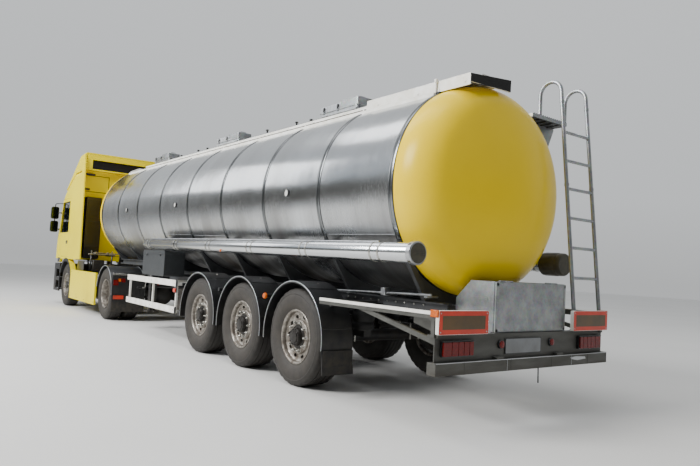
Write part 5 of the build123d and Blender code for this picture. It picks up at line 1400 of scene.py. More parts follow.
class TANKER_OT_running_gear(bpy.types.Operator):
    """Dress the mudguards, axles and frame: edge trims, flaps, air springs, chambers, tanks and bolts."""

    bl_idname = "tanker.running_gear"
    bl_label = "Running gear"

    def execute(self, context):
        self.mudguards(context.scene.tanker_sizes.trim_radius)
        self.suspension()
        self.brake_lines()
        bolt = Shape("zinc plate")
        for hand in HANDS:
            for z in (0.905, 0.985):
                bolt.bolt(facing_side(0, hand * 0.507, z, hand), RAIL_BOLT)
        row = repeated(bolt, 44, (0.14, 0, 0), along_x(X_REAR_AXLE - 1.3))
        place_piece("frame_bolts", row, "trailer", "bare_metal")
        return {"FINISHED"}

    def mudguards(self, radius):
        """Edge strips, front ends, ribs and bolts of the mudguards, the side lamps and the rear flaps."""
        trims = Shape("galvanised sheet")
        for hand in HANDS:
            for x in AXLES:
                trims.use("galvanised sheet")
                strip = arc(x, WHEEL_Z, 0.6075, GUARD_TOE, GUARD_HEEL)
                trims.tube([(px, hand * 1.237, pz) for px, pz in strip], radius, 8)
                trims.use("moulded polypropylene")
                for inner, near, far in ((0.604, 0.85, 1.24), (0.588, 1.23, 1.24)):
                    toe = arc_band(x, WHEEL_Z, GUARD_R, inner, 20, GUARD_TOE, 8)
                    trims.upright(toe, far - near, hand * (near + far) / 2)
                for angle in (38, 62, 90, 118, 142, 166):
                    px, pz = arc(x, WHEEL_Z, 0.612, angle, angle, 1)[0]
                    trims.rod((px, hand * 0.86, pz), (px, hand * 1.232, pz), 0.007, 8, None, 0.001)
                trims.use("zinc plate")
                for turn in (math.radians(75), math.radians(105)):
                    spot = (x + GUARD_R * math.cos(turn), hand * 1.02, WHEEL_Z + 0.6135 * math.sin(turn))
                    trims.bolt(Matrix.Translation(spot) @ Matrix.Rotation(-turn, 4, "Y"), STAY_BOLT)
            trims.use("orange acrylic")
            trims.lathe([(0, 0), (0, 0.036), (0.012, 0.036), (0.026, 0.028), (0.029, 0)],
                        facing_side(X_REAR_AXLE + AXLE_SPACING / 2, hand * 1.209, 0.935, hand), 24)
            flap = X_REAR_AXLE - 0.6365
            trims.use("rubber sheet")
            trims.box((flap, hand * 0.856, 0.222), (flap + 0.006, hand * 1.234, 0.46), 0.002)
            trims.use("zinc plate")
            for y in (0.9, 1.04, 1.18):
                trims.bolt(facing_back(flap + 0.024, hand * y, 0.445), FLAP_SCREW)
        trims.place("mudguard_trims", "trailer", "black_plastic")

    def suspension(self):
        """Air springs, brake chambers, clamps and drums at each wheel, and the two air reservoirs."""
        gear = Shape("rubber sheet")
        for x in AXLES:
            for hand in HANDS:
                y = hand * RAIL_Y
                spring = facing_up(x - 0.33, y, 0.64)
                gear.use("rubber sheet")
                gear.turned(BELLOWS, spring, 36)
                gear.use("black chassis paint")
                gear.turned([(0.196, 0.114), (0.212, 0.114)], spring, 24)
                leaning = Matrix.Rotation(math.radians(200), 4, "Y")
                gear.turned(CHAMBER, Matrix.Translation((x + 0.12, hand * 0.62, 0.62)) @ leaning, 32)
                gear.use("zinc plate")
                for px in (x - 0.1, x + 0.1):
                    for py in (y - 0.07, y + 0.07):
                        gear.rod((px, py, 0.47), (px, py, 0.68), 0.011, 8)
                gear.use("cast iron")
                gear.rod((x, hand * 0.86, WHEEL_Z), (x, hand * 0.882, WHEEL_Z), 0.21, 40, None, 0.006)
                gear.use("black chassis paint")
                gear.box((x + 0.38, y - 0.065, 0.6), (x + 0.54, y + 0.065, 0.87), 0.006)
        x = X_REAR_AXLE + 2.0
        for y in (0.24, -0.24):
            tank = Matrix.Translation((x, y, 0.72))
            gear.use("black chassis paint")
            gear.lathe(RESERVOIR, tank, 40)
            gear.use("zinc plate")
            for along in (0.2, 0.6):
                gear.ring(along, 0.015, 0.124, 0.129, tank, 40)
                gear.box((x + along - 0.02, y - 0.02, 0.84), (x + along + 0.02, y + 0.02, 0.9), 0.003)
        gear.place("suspension_parts", "trailer", "dark_paint")

    def brake_lines(self):
        """Air lines along the frame and down to each brake chamber."""
        lines = Shape("sealing rubber")
        axle = X_REAR_AXLE
        for hand in HANDS:
            y = hand * 0.47
            for z in (0.9, 0.915, 0.93):
                lines.tube(bent([(axle - 1.2, y, z + 0.03), (axle + 5.4, y, z + 0.04),
                                 (axle + 6.1, y, z + 0.2), (axle + 6.5, y * 0.9, 1.24)], 0.1), 0.006, 6)
            for x in AXLES:
                lines.tube(bent([(x + 0.02, hand * 0.63, 0.66), (x + 0.06, hand * 0.6, 0.8),
                                 (x + 0.2, hand * 0.49, 0.86), (x + 0.25, hand * 0.47, 0.93)], 0.08),
                           0.009, 8)
        lines.place("brake_lines", "trailer", "black_plastic")


# Tail

BOARD_WIDE, BOARD_LOW, BOARD_HIGH = 0.6, 0.808, 1.006
# Layers of a marker board: finish, margin, corner radius, back, depth
BOARD_LAYERS = (("cream paint", 0.0, 0.012, 0.003, 0.0367), ("reflective border", 0.003, 0.01, 0.0015, 0.002),
                ("reflective centre", 0.042, 0.006, 0.0008, 0.0012))
SCREW_MARGIN = 0.022
LAMP_NEAR, LAMP_FAR, LAMP_LOW, LAMP_HIGH = 0.77, 1.15, 0.622, 0.752
LAMP_FIELDS = (0.1, 0.075, 0.065, 0.065, 0.051)  # widths, from the outside in
ROUND_LAMPS = (0.395, -0.339)
PLATE_RIGHT, PLATE_LEFT, PLATE_LOW, PLATE_HIGH = -0.18, 0.338, 0.614, 0.758
PLATE_RIM = 0.008
CABINET_LEFT, CABINET_RIGHT, CABINET_LOW, CABINET_HIGH = 0.427, -0.62, 0.8, 1.255
CABINET_BACK = X_TAIL + 0.097


class TANKER_OT_tail(bpy.types.Operator):
    """Build the marker boards, lamps, plate, bumper details and the cabinet's fittings."""

    bl_idname = "tanker.tail"
    bl_label = "Tail"

    def execute(self, context):
        self.boards()
        self.lamps()
        self.fittings()
        self.cabinet(context.scene.tanker_sizes.rivet_step)
        return {"FINISHED"}

    def boards(self):
        """Framed reflective boards with a screw in each corner."""
        boards = Shape("cream paint")
        for hand in HANDS:
            a, b = span(hand, BOARD_Y, BOARD_Y - BOARD_WIDE)
            for finish, edge, radius, back, depth in BOARD_LAYERS:
                boards.use(finish)
                boards.panel((a + edge, b - edge), (BOARD_LOW + edge, BOARD_HIGH - edge), radius,
                             X_TAIL + back, depth)
            boards.use("zinc plate")
            for y in (a + SCREW_MARGIN, b - SCREW_MARGIN):
                for z in (BOARD_LOW + SCREW_MARGIN, BOARD_HIGH - SCREW_MARGIN):
                    boards.lathe([(0, 0), (0, 0.007), (0.0018, 0.006), (0.002, 0)],
                                 facing_back(X_TAIL + 0.0022, y, z), 12)
        boards.place("marker_board_panels", "trailer", "marker_board", "marker_boards")

    def lamps(self):
        """Lamp bars in fields, two round lamps and the orange end markers."""
        lamps = Shape("black lacquer")
        for hand in HANDS:
            a, b = span(hand, LAMP_NEAR, LAMP_FAR)
            lamps.use("black lacquer")
            lamps.panel((a, b), (LAMP_LOW, LAMP_HIGH), 0.016, X_TAIL + 0.033, 0.026)
            lamps.use("red acrylic")
            edge = LAMP_FAR - 0.006
            for wide in LAMP_FIELDS:
                lamps.panel(span(hand, edge, edge - wide + 0.004), (LAMP_LOW + 0.008, LAMP_HIGH - 0.008),
                            0.008, X_TAIL + 0.0195, 0.0145)
                edge -= wide + 0.002
            lamps.use("black lacquer")
            lamps.box((X_TAIL + 0.02, a - 0.006, LAMP_HIGH - 0.002),
                      (X_TAIL + 0.055, b + 0.006, LAMP_HIGH + 0.005), 0.002)
        for y in ROUND_LAMPS:
            at = facing_back(X_TAIL + 0.0597, y, 0.705)
            lamps.use("black lacquer")
            lamps.turned([(0, 0.04), (0.016, 0.04), (0.02, 0.037)], at, 32)
            lamps.use("red acrylic")
            lamps.lathe([(0.012, 0), (0.012, 0.034), (0.024, 0.032), (0.0285, 0.02), (0.0295, 0)], at, 32)
        lamps.use("orange acrylic")
        for hand in HANDS:
            lamps.box((X_TAIL + 0.006, hand * 1.2203, 0.948), (X_TAIL + 0.1, hand * 1.24, 1.008), 0.008)
        lamps.place("tail_lamps", "trailer", "lamp_red", "trailer_lamps")

    def fittings(self):
        """Blank plate, bumper pads and seams, stays, edge strips and the pipe over the frame."""
        tail = Shape("black lacquer")
        plate = X_TAIL + 0.054
        tail.panel((PLATE_RIGHT, PLATE_LEFT), (PLATE_LOW, PLATE_HIGH), 0.012, plate - 0.0042, 0.004)
        tail.use("blank plate sheet")
        tail.panel((PLATE_RIGHT + PLATE_RIM, PLATE_LEFT - PLATE_RIM),
                   (PLATE_LOW + PLATE_RIM, PLATE_HIGH - PLATE_RIM), 0.01, plate - 0.0058, 0.0015)
        tail.use("weathered steel")
        for y in (-0.44, 0.44):
            tail.box((X_TAIL + 0.012, y - 0.05, 0.58), (X_TAIL + 0.09, y + 0.05, 0.604), 0.004)
        for y in (-0.9, -0.3, 0.3, 0.9):
            tail.box((X_TAIL + 0.008, y - 0.002, 0.478), (X_TAIL + 0.0115, y + 0.002, 0.578), 0.0006)
        for hand in HANDS:
            tail.box((X_TAIL + 0.009, hand * 1.23, 0.4785), (X_TAIL + 0.111, hand * 1.2395, 0.5815), 0.002)
            tail.upright([(X_TAIL + 1.11, 0.931), (X_TAIL + 0.91, 0.931), (X_TAIL + 0.071, 0.768),
                          (X_TAIL + 0.071, 0.722)], 0.03, hand * 1.192)
        tail.use("cream paint")
        start, end = X_TAIL + 0.105, X_REAR_AXLE - 0.502
        for hand in HANDS:
            tail.box((start, hand * 1.2185, 0.964), (end, hand * 1.2225, 0.9905), 0.0015)
            tail.box((start, hand * 1.189, 0.9888), (end, hand * 1.222, 0.9925), 0.0015)
        tail.use("brushed stainless")
        axle = X_REAR_AXLE
        tail.rod((axle + 0.1, 0.66, 1.05), (X_TAIL + 0.68, 0.66, 1.096), 0.013, 14, None, 0.004)
        tail.box((axle - 0.91, 0.625, 1.05), (axle - 0.84, 0.695, 1.13), 0.006)
        for x, z in ((axle - 0.23, 1.06), (axle - 0.88, 1.078), (axle - 1.48, 1.094)):
            tail.box((x - 0.02, 0.505, z - 0.03), (x + 0.02, 0.664, z - 0.012), 0.003)
        tail.box((X_TAIL + 0.0085, -1.236, 0.5745), (X_TAIL + 0.0125, 1.236, 0.581), 0.001)
        for y in (-0.62, 0.35):
            tail.box((X_TAIL + 0.008, y - 0.0015, 0.482), (X_TAIL + 0.0105, y + 0.0015, 0.574), 0.0005)
        tail.prism([(-0.86, 0.532), (-0.72, 0.522), (-0.62, 0.536), (-0.6, 0.552), (-0.7, 0.56),
                    (-0.85, 0.552)], 0.0015, across_at(X_TAIL + 0.0085))
        tail.use("sealing rubber")
        tail.tube(bent([(X_TAIL + 0.05, -0.15, 0.478), (X_TAIL + 0.05, -0.152, 0.4),
                        (X_TAIL + 0.052, -0.158, 0.33)], 0.05), 0.006, 8)
        tail.place("tail_fittings", "trailer", "dark_paint")

    def cabinet(self, step):
        """Folded edges, vents and rivets of the tail cabinet, and the frame on its flap."""
        left, right, low, high, back = CABINET_LEFT, CABINET_RIGHT, CABINET_LOW, CABINET_HIGH, CABINET_BACK
        folds = Shape("galvanised sheet")
        for y in (left, right):
            folds.box((back + 0.021, y - 0.006, low + 0.002), (back + 0.05, y + 0.006, high + 0.001), 0.002)
        for z in (0.9, 0.99, 1.08):
            for hand, y in ((1, left), (-1, right)):
                folds.box((back + 0.1, y - hand * 0.002, z), (back + 0.3, y + hand * 0.004, z + 0.03), 0.003)
        folds.upright([(back + 0.02, high), (back + 0.306, high), (back + 0.31, high - 0.004),
                       (back + 0.31, high + 0.004), (back + 0.02, high + 0.004)], left - right + 0.01,
                      (left + right) / 2)
        folds.place("cabinet_folds", "trailer", "bare_metal")
        flap = Shape("galvanised sheet")
        x = back - 0.0005
        bottom, top = low + 0.01, high - 0.01
        for y0, y1, z0, z1 in ((left - 0.004, left - 0.03, bottom, top),
                               (right + 0.004, right + 0.03, bottom, top),
                               (left - 0.004, right + 0.004, top - 0.024, top),
                               (left - 0.004, right + 0.004, bottom, bottom + 0.024)):
            flap.box((x - 0.0025, y0, z0), (x + 0.002, y1, z1), 0.001)
        flap.place("cabinet_flap_frame", "cabinet_door", "bare_metal")
        rivet = Shape("zinc plate")
        for z in (low + 0.022, high - 0.022):
            rivet.lathe([(0, 0), (0, 0.0045), (0.0015, 0.004), (0.0026, 0.0022), (0.003, 0)],
                        facing_back(x - 0.002, 0, z), 10)
        count = int((left - right - 0.06) / step)
        middle = Matrix.Translation((0, (left + right - (count - 1) * step) / 2, 0))
        place_piece("cabinet_flap_rivets", repeated(rivet, count, (0, step, 0), middle), "cabinet_door",
                    "bare_metal")
        side_rivet = Shape("zinc plate")
        for hand, y in ((1, left), (-1, right)):
            side_rivet.lathe([(0, 0), (0, 0.0045), (0.0015, 0.004), (0.003, 0)],
                             facing_side(back + 0.075, y, 0, hand), 10)
        column = repeated(side_rivet, 7, (0, 0, 0.065), Matrix.Translation((0, 0, low + 0.03)))
        place_piece("cabinet_side_rivets", column, "trailer", "bare_metal")


# Side guards, boxes, legs and the spare


class TANKER_OT_side(bpy.types.Operator):
    """Dress the side guards, valve boxes, landing legs and spare wheel."""

    bl_idname = "tanker.side"
    bl_label = "Side"

    def execute(self, context):
        self.guards()
        self.boxes()
        self.legs()
        self.spare()
        return {"FINISHED"}

    def guards(self):
        """Ribs, end caps, bolts and the reflectors hung under the upper rails."""
        back, front = X_REAR_AXLE + 3.51, X_REAR_AXLE + 5.95
        trim = Shape("cream paint")
        for hand in HANDS:
            face = hand * 1.225
            for low in (0.475, 0.89):
                trim.use("cream paint")
                for z in (low + 0.018, low + 0.071):
                    trim.box((back + 0.004, face - hand * 0.001, z),
                             (front - 0.004, face + hand * 0.0022, z + 0.006), 0.001)
                trim.use("brushed stainless")
                for x in (back, front):
                    trim.box((x - 0.002, face - hand * 0.031, low - 0.0015),
                             (x + 0.002, face + hand * 0.0015, low + 0.0965), 0.001)
                trim.use("zinc plate")
                for x in (back + 0.05, (back + front) / 2 - 0.1, front - 0.06):
                    trim.lathe([(0, 0), (0, 0.009), (0.004, 0.008), (0.006, 0.004), (0.0062, 0)],
                               facing_side(x, face, low + 0.0475, hand), 12)
            trim.use("reflective border")
            trim.box((back + 0.012, face - hand * 0.022, 0.796), (back + 0.1, face + hand * 0.002, 0.856),
                     0.006)
            trim.use("black lacquer")
            trim.box((back + 0.004, face - hand * 0.028, 0.788), (back + 0.108, face - hand * 0.02, 0.892),
                     0.003)
        trim.place("guard_trims", "trailer", "cream_paint")

    def boxes(self):
        """Overhanging lids and latches of the two valve boxes."""
        back, front, low = X_REAR_AXLE + 4.28, X_REAR_AXLE + 5.37, 1.386
        inner, outer = 0.795, 1.15
        parts = Shape("grey polyethylene")
        for hand in HANDS:
            parts.use("grey polyethylene")
            far = hand * (outer + 0.006)
            parts.box((back - 0.006, hand * (inner - 0.004), low), (back + 0.03, far, low + 0.012), 0.003)
            parts.upright(rounded(back - 0.007, front + 0.007, low, low + 0.014, 0.004), 0.01,
                          hand * (outer + 0.004))
            for x, way in ((back, -1), (front, 1)):
                parts.box((x - 0.001 * way, hand * (inner + 0.02), low),
                          (x + way * 0.007, far, low + 0.014), 0.003)
            parts.use("black lacquer")
            for x in (back + 0.2, front - 0.2):
                parts.box((x - 0.012, hand * (outer + 0.001), low - 0.035),
                          (x + 0.012, hand * (outer + 0.012), low + 0.02), 0.004)
        parts.place("valve_box_lids", "trailer", "grey_plastic")

    def legs(self):
        """Gear housings, collars, foot ribs and the folded crank of the landing legs."""
        x = X_REAR_AXLE + 5.77
        legs = Shape("black chassis paint")
        for hand in HANDS:
            y = hand * 0.8
            legs.use("black chassis paint")
            legs.box((x - 0.085, y - 0.075, 0.86), (x + 0.085, y + 0.075, 1.0), 0.012)
            for z in (0.4, 0.55):
                legs.box((x - 0.066, y - 0.066, z), (x + 0.066, y + 0.066, z + 0.025), 0.004)
            for way in (-1, 1):
                rib = [(x + way * 0.047, 0.331), (x + way * 0.1, 0.331), (x + way * 0.047, 0.372)]
                legs.upright(rib[::way], 0.012, y)
            legs.use("zinc plate")
            for dx in (-0.055, 0.055):
                for z in (0.885, 0.975):
                    legs.bolt(facing_side(x + dx, y + hand * 0.075, z, hand), LEG_BOLT)
            legs.rod((x - 0.11, y, 0.3145), (x - 0.118, y, 0.3145), 0.012, 12)
        legs.tube(bent([(x, 0.875, 0.93), (x, 0.93, 0.93), (x + 0.02, 0.94, 0.75), (x + 0.02, 1.0, 0.75)],
                       0.02), 0.011, 10)
        legs.use("sealing rubber")
        legs.rod((x + 0.02, 0.995, 0.75), (x + 0.02, 1.09, 0.75), 0.016, 14, None, 0.004)
        legs.place("landing_leg_gear", "trailer", "dark_paint")

    def spare(self):
        """Tread blocks, sidewall ribs and the bright disc of the spare wheel."""
        lying = facing_up(X_REAR_AXLE + 4.15, 0.4, 0.64)
        block = Shape("tyre rubber")
        for along in (-0.125, -0.042, 0.042, 0.125):
            block.box((along - 0.034, -0.017, 0.526), (along + 0.034, 0.017, 0.5345), 0.003)
        place_piece("spare_tread", repeated(block, 72, 0.0, lying), "trailer", "tyre_rubber")
        disc = Shape("silver wheel paint")
        for turn in (0, math.pi):
            at = lying @ Matrix.Rotation(turn, 4, "Y")
            disc.use("silver wheel paint")
            disc.lathe([(0.021, 0.0), (0.021, 0.16), (0.05, 0.2), (0.12, 0.262), (0.151, 0.27),
                        (0.152, 0.286), (0.13, 0.288)], at, 48)
            disc.use("tyre rubber")
            disc.lathe([(0.186, 0.33), (0.1875, 0.345), (0.1875, 0.46), (0.186, 0.47)], at, 64)
        disc.place("spare_disc", "trailer", "silver_paint")


# Cab

CAB_BACK = X_STEER - 0.98
WINDOW = ((X_STEER + 0.01, 1.87), (X_STEER + 0.915, 1.87), (X_STEER + 0.74, 2.66), (X_STEER + 0.01, 2.66))
MIRROR_X, MIRROR_DEEP = X_NOSE - 0.33, 0.095
MIRROR_NEAR, MIRROR_FAR = 1.29, 1.48
MIRROR_HEADS = ((1.88, 2.18), (2.23, 2.56))
GLASS_MARGIN = 0.014
HEADLAMP_NEAR, HEADLAMP_FAR, HEADLAMP_Z = 0.6006, 1.0394, (0.6606, 0.8394)
FRAME_END = X_DRIVE - 0.87      # rear end of the tractor's frame
SEAT_Y = 0.62


class TANKER_OT_cab(bpy.types.Operator):
    """Build the door glass, seals, handles, mirrors, the hood's black plate of painted shade, arches, steps,
    lamps and seats.
    """

    bl_idname = "tanker.cab"
    bl_label = "Cab"

    def execute(self, context):
        for hand, side in SIDES:
            self.door(hand, side)
        self.mirrors()
        self.back_wall()
        self.arches()
        self.lamps()
        self.front()
        self.radiator()
        self.seats()
        return {"FINISHED"}

    def door(self, hand, side):
        """Glass, seals, handle, keyhole and step panel of one door, riding on it."""
        glass = Shape("tinted glass")
        glass.upright(inset(WINDOW, 0.0015), 0.006, hand * 1.222)
        glass.place(f"door_glass_{side}", f"door_{side}", "glass")
        trim = Shape("sealing rubber")
        edge = inset(WINDOW, 0.004)
        for face in (1.246, 1.184):
            trim.tube([(x, hand * face, z) for x, z in edge], 0.0085, 8, None, closed=True)
        trim.use("black lacquer")
        x, z = X_STEER + 0.005, 1.6
        trim.upright(rounded(x, x + 0.17, z - 0.03, z + 0.055, 0.02), 0.004, hand * 1.247)
        trim.rod((x + 0.02, hand * 1.255, z + 0.022), (x + 0.15, hand * 1.257, z + 0.016), 0.009, 12, None,
                 0.003)
        trim.use("zinc plate")
        trim.lathe([(0, 0), (0, 0.009), (0.0025, 0.0085), (0.003, 0)],
                   facing_side(x + 0.085, hand * 1.2485, z - 0.016, hand), 16)
        trim.use("black lacquer")
        trim.upright([(X_STEER + 0.74, 1.09), (X_STEER + 0.985, 1.09), (X_STEER + 0.985, 1.2),
                      (X_STEER + 0.68, 1.2)], 0.003, hand * 1.2465)
        trim.place(f"door_trim_{side}", f"door_{side}", "black_plastic")

    def mirrors(self):
        """Rounded mirror heads with their glass facing back, on bowed arms to the pillar brackets."""
        shells = Shape("black lacquer")
        x = MIRROR_X
        stem = x + 0.045
        for hand in HANDS:
            a, b = span(hand, MIRROR_NEAR, MIRROR_FAR)
            for low, high in MIRROR_HEADS:
                shells.use("black lacquer")
                for start, deep, ease, steps in ((x + 0.012, MIRROR_DEEP - 0.012, 0.022, 3),
                                                 (x, 0.016, 0.004, 2)):
                    part = Shape("black lacquer")
                    part.panel((a, b), (low, high), 0.045, start, deep, 6)
                    part.ease_edges(ease, 1.0, steps)
                    shells.take(part)
                shells.use("mirror glass")
                shells.panel((a + GLASS_MARGIN, b - GLASS_MARGIN), (low + GLASS_MARGIN, high - GLASS_MARGIN),
                             0.034, x - 0.001, 0.0015, 6)
            shells.use("black lacquer")
            for foot, z in ((X_NOSE - 0.31, 1.96), (X_NOSE - 0.462, 2.395)):
                shells.box((foot - 0.012, hand * 1.2454, z - 0.02), (foot + 0.012, hand * 1.275, z + 0.02),
                           0.004)
                shells.tube(bent([(foot, hand * 1.262, z), (foot, hand * 1.3, z), (stem, hand * 1.32, z)],
                                 0.03), 0.0135, 12)
            shells.rod((stem, hand * 1.38, 2.16), (stem, hand * 1.38, 2.25), 0.014, 14)
            top = X_NOSE - 0.56
            shells.tube(bent([(stem, hand * 1.38, 2.54), (stem, hand * 1.38, 2.64),
                              (top + 0.18, hand * 1.29, 2.65), (top, hand * 1.272, 2.64),
                              (top, hand * 1.2456, 2.64)], 0.03), 0.0125, 12)
        shells.place("mirror_shells", "cab", "black_plastic", "mirrors")

    def back_wall(self):
        """The hood's black plate of painted shade and its yellow rim, and the black duct panels of the back
        wall, partly painted shade, with its hatches and slats.
        """
        wall = Shape("cab paint")
        x = CAB_BACK - 0.178
        for y0, y1, z0, z1 in ((-1.19, 1.19, 3.632, 3.766), (1.05, 1.19, 3.415, 3.632),
                               (-1.19, -1.05, 3.415, 3.632)):
            wall.box((x, y0, z0), (x + 0.006, y1, z1), 0.002)
        # A black plate closing the hood, with strips round it: painted shade for the deep dark hollow inside
        # the hood
        wall.use("moulded polypropylene")
        wall.box((x + 0.12, -1.185, 3.412), (x + 0.13, 1.185, 3.762), 0.001)
        for y in (-1.062, 1.052):
            wall.box((x + 0.005, y, 3.413), (x + 0.125, y + 0.01, 3.633), 0.001)
        wall.box((x + 0.005, -1.06, 3.634), (x + 0.125, 1.06, 3.644), 0.001)
        wall.box((x + 0.001, -1.06, 3.411), (x + 0.125, 1.06, 3.418), 0.001)
        for hand in HANDS:
            wall.use("moulded polypropylene")
            # Black panels low on the back wall: partly air ducting, partly painted shade between the cab and
            # the tank
            duct_and_shade = [(0.72, 1.25), (1.2, 1.25), (1.2, 2.72), (0.78, 2.72), (0.72, 2.6)]
            if hand < 0:
                duct_and_shade = [(-1.2, 1.25), (-0.72, 1.25), (-0.72, 2.6), (-0.78, 2.72), (-1.2, 2.72)]
            wall.prism(duct_and_shade, 0.02, across_at(CAB_BACK - 0.022))
            wall.use("sealing rubber")
            near, far, low, high = 0.59, 1.135, 2.86, 3.27
            for y0, y1, z0, z1 in ((near, near + 0.012, low, high), (near, far, high - 0.012, high),
                                   (near, far, low, low + 0.012)):
                wall.box((CAB_BACK - 0.006, hand * y0, z0), (CAB_BACK - 0.0015, hand * y1, z1), 0.001)
            wall.use("black lacquer")
            for near, z in ((0.93, 3.29), (1.04, 2.92)):
                wall.box((CAB_BACK - 0.028, hand * near, z - 0.022),
                         (CAB_BACK - 0.002, hand * 1.15, z + 0.022), 0.006)
        wall.use("sealing rubber")
        wall.box((CAB_BACK - 0.006, -0.55, 1.3), (CAB_BACK - 0.002, 0.55, 1.31), 0.001)
        wall.place("cab_back_details", "cab", "black_plastic")
        stack = Shape("black lacquer")
        for k in range(9):
            z = 2.28 + 0.045 * k
            stack.box((CAB_BACK - 0.206, 0.82, z), (CAB_BACK - 0.199, 1.08, z + 0.018), 0.002)
        for z in (1.5, 2.1):
            stack.box((CAB_BACK - 0.205, 0.776, z), (CAB_BACK - 0.002, 1.124, z + 0.03), 0.003)
        stack.place("intake_slats", "cab", "black_plastic")

    def arches(self):
        """Black flares over the front wheels and treads on the steps behind the bumper."""
        parts = Shape("moulded polypropylene")
        for hand in HANDS:
            parts.use("moulded polypropylene")
            parts.upright(arc_band(X_STEER, WHEEL_Z, 0.676, 0.604, 26, 154, 24), 0.006, hand * 1.2485)
            parts.upright(arc_band(X_STEER, WHEEL_Z, 0.604, 0.596, 28, 152, 24), 0.138, hand * 1.176)
            parts.use("tread plate")
            for z in (0.401, 0.691):
                for k in range(5):
                    x = X_NOSE - 0.69 + 0.065 * k
                    parts.box((x, hand * 1.05, z), (x + 0.03, hand * 1.235, z + 0.006), 0.002)
        parts.place("arch_flares", "cab", "black_plastic")

    def lamps(self):
        """Head lamps in the bumper and the lamps on the rear ends of the frame."""
        lamps = Shape("black lacquer")
        for hand in HANDS:
            a, b = span(hand, HEADLAMP_NEAR, HEADLAMP_FAR)
            lamps.use("black lacquer")
            lamps.panel((a, b), HEADLAMP_Z, 0.03, X_NOSE - 0.0255, 0.006)
            lamps.use("mirror glass")
            for y, wide in ((0.7, 0.062), (0.85, 0.062), (0.975, 0.045)):
                lamps.lathe([(0.0, 0.0), (0.0, wide * 0.4), (0.004, wide * 0.7), (0.012, wide),
                             (0.0135, wide), (0.006, wide * 0.7), (0.002, 0.012), (0.008, 0.012),
                             (0.01, 0.0)], Matrix.Translation((X_NOSE - 0.0195, hand * y, 0.75)), 32)
            lamps.use("clear acrylic")
            lamps.panel((a, b), HEADLAMP_Z, 0.03, X_NOSE - 0.0045, 0.003)
            lamps.use("orange acrylic")
            lamps.panel((a + 0.005, b - 0.005), (0.665, 0.685), 0.004, X_NOSE - 0.014, 0.004)
        for hand in HANDS:
            lamps.use("black lacquer")
            for y in (0.3805, 0.4245):
                lamps.box((FRAME_END + 0.0005, hand * y - 0.002, 0.722),
                          (FRAME_END + 0.039, hand * y + 0.002, 0.858), 0.001)
            lamps.use("red acrylic")
            lamps.panel(span(hand, 0.3825, 0.4225), (0.722, 0.858), 0.006, FRAME_END + 0.002, 0.036)
        lamps.place("tractor_lamp_units", "tractor", "glass", "tractor_lamps")

    def front(self):
        """Wipers, roof markers and grille mesh on the cab, and the blank front plate."""
        parts = Shape("black lacquer")
        down = Vector((0.38, 0, -0.96)).normalized()
        for y in (0.62, -0.1):
            foot = Vector((X_NOSE - 0.092, y, 1.82))
            tip = foot - down * 0.62 + Vector((0.012, -0.3, 0))
            parts.use("black lacquer")
            parts.rod(foot + Vector((-0.01, 0, 0.0)), foot + Vector((0.018, 0, 0.012)), 0.016, 14, None,
                      0.003)
            parts.rod(foot + Vector((0.014, 0, 0.008)), tip, 0.006, 8)
            parts.use("sealing rubber")
            middle = (foot + tip) / 2 + Vector((0.006, -0.1, 0.05))
            parts.rod(middle + down * 0.3, middle - down * 0.32, 0.006, 8)
        parts.use("orange acrylic")
        for y in (-0.95, -0.55, 0.0, 0.55, 0.95):
            parts.box((X_NOSE - 0.56, y - 0.045, 2.985), (X_NOSE - 0.5, y + 0.045, 3.01), 0.008)
        parts.use("black lacquer")
        for k in range(26):
            y = -0.765 + k * 0.0612
            parts.box((X_NOSE - 0.082, y - 0.003, 1.242), (X_NOSE - 0.079, y + 0.003, 1.688), 0.001)
        rim = X_NOSE - 0.053
        for z0, z1 in ((1.232, 1.242), (1.688, 1.698)):
            parts.box((rim, -0.79, z0), (rim + 0.0065, 0.79, z1), 0.003)
        for y in (-0.785, 0.785):
            parts.box((rim, y - 0.006, 1.236), (rim + 0.0065, y + 0.006, 1.694), 0.003)
        parts.place("cab_front_details", "cab", "black_plastic")
        plate = Shape("blank plate sheet")
        plate.panel((-0.26, 0.26), (0.655, 0.765), 0.008, X_NOSE - 0.0076, 0.004)
        plate.place("bumper_details", "tractor", "black_plastic")

    def radiator(self):
        """The radiator behind the vent: core, side tanks and fins."""
        core = Shape("sealing rubber")
        core.box((X_NOSE - 0.16, -0.8, 0.61), (X_NOSE - 0.122, 0.8, 1.03), 0.005)
        core.use("black chassis paint")
        for y in (-0.78, 0.78):
            core.box((X_NOSE - 0.166, y - 0.025, 0.605), (X_NOSE - 0.114, y + 0.025, 1.035), 0.005)
        core.place("radiator_core", "tractor", "dark_paint")
        fin = Shape("greasy iron")
        fin.box((X_NOSE - 0.1225, -0.75, 0.615), (X_NOSE - 0.117, -0.746, 1.025), 0.0008)
        place_piece("radiator_fins", repeated(fin, 51, (0, 0.03, 0)), "tractor", "dark_paint")

    def seats(self):
        """Two seats: crowned cushions and backs with sewn channels, on plain pedestals."""
        base = Shape("grey polyethylene")
        x = X_STEER
        for hand in HANDS:
            y = hand * SEAT_Y
            base.box((x - 0.22, y - 0.2, 1.2405), (x + 0.22, y + 0.2, 1.3), 0.01)
            base.box((x - 0.14, y - 0.14, 1.3), (x + 0.14, y + 0.14, 1.5), 0.03)
            base.box((x - 0.24, y - 0.235, 1.49), (x + 0.24, y + 0.235, 1.53), 0.012)
        base.place("seat_pedestals", "cab", "fabric", "seats")
        for hand, side in SIDES:
            left, right = hand * SEAT_Y + 0.245, hand * SEAT_Y - 0.245
            pads = (("cushion", (x - 0.235, right, 1.53), (x + 0.245, left, 1.66), 2),
                    ("back", (x - 0.32, right, 1.66), (x - 0.18, left, 2.325), 0))
            for part, low, high, axis in pads:
                pad = self.pad(f"seat_{part}_{side}", low, high, axis)
                place_piece(pad.name, pad, "cab", "fabric")

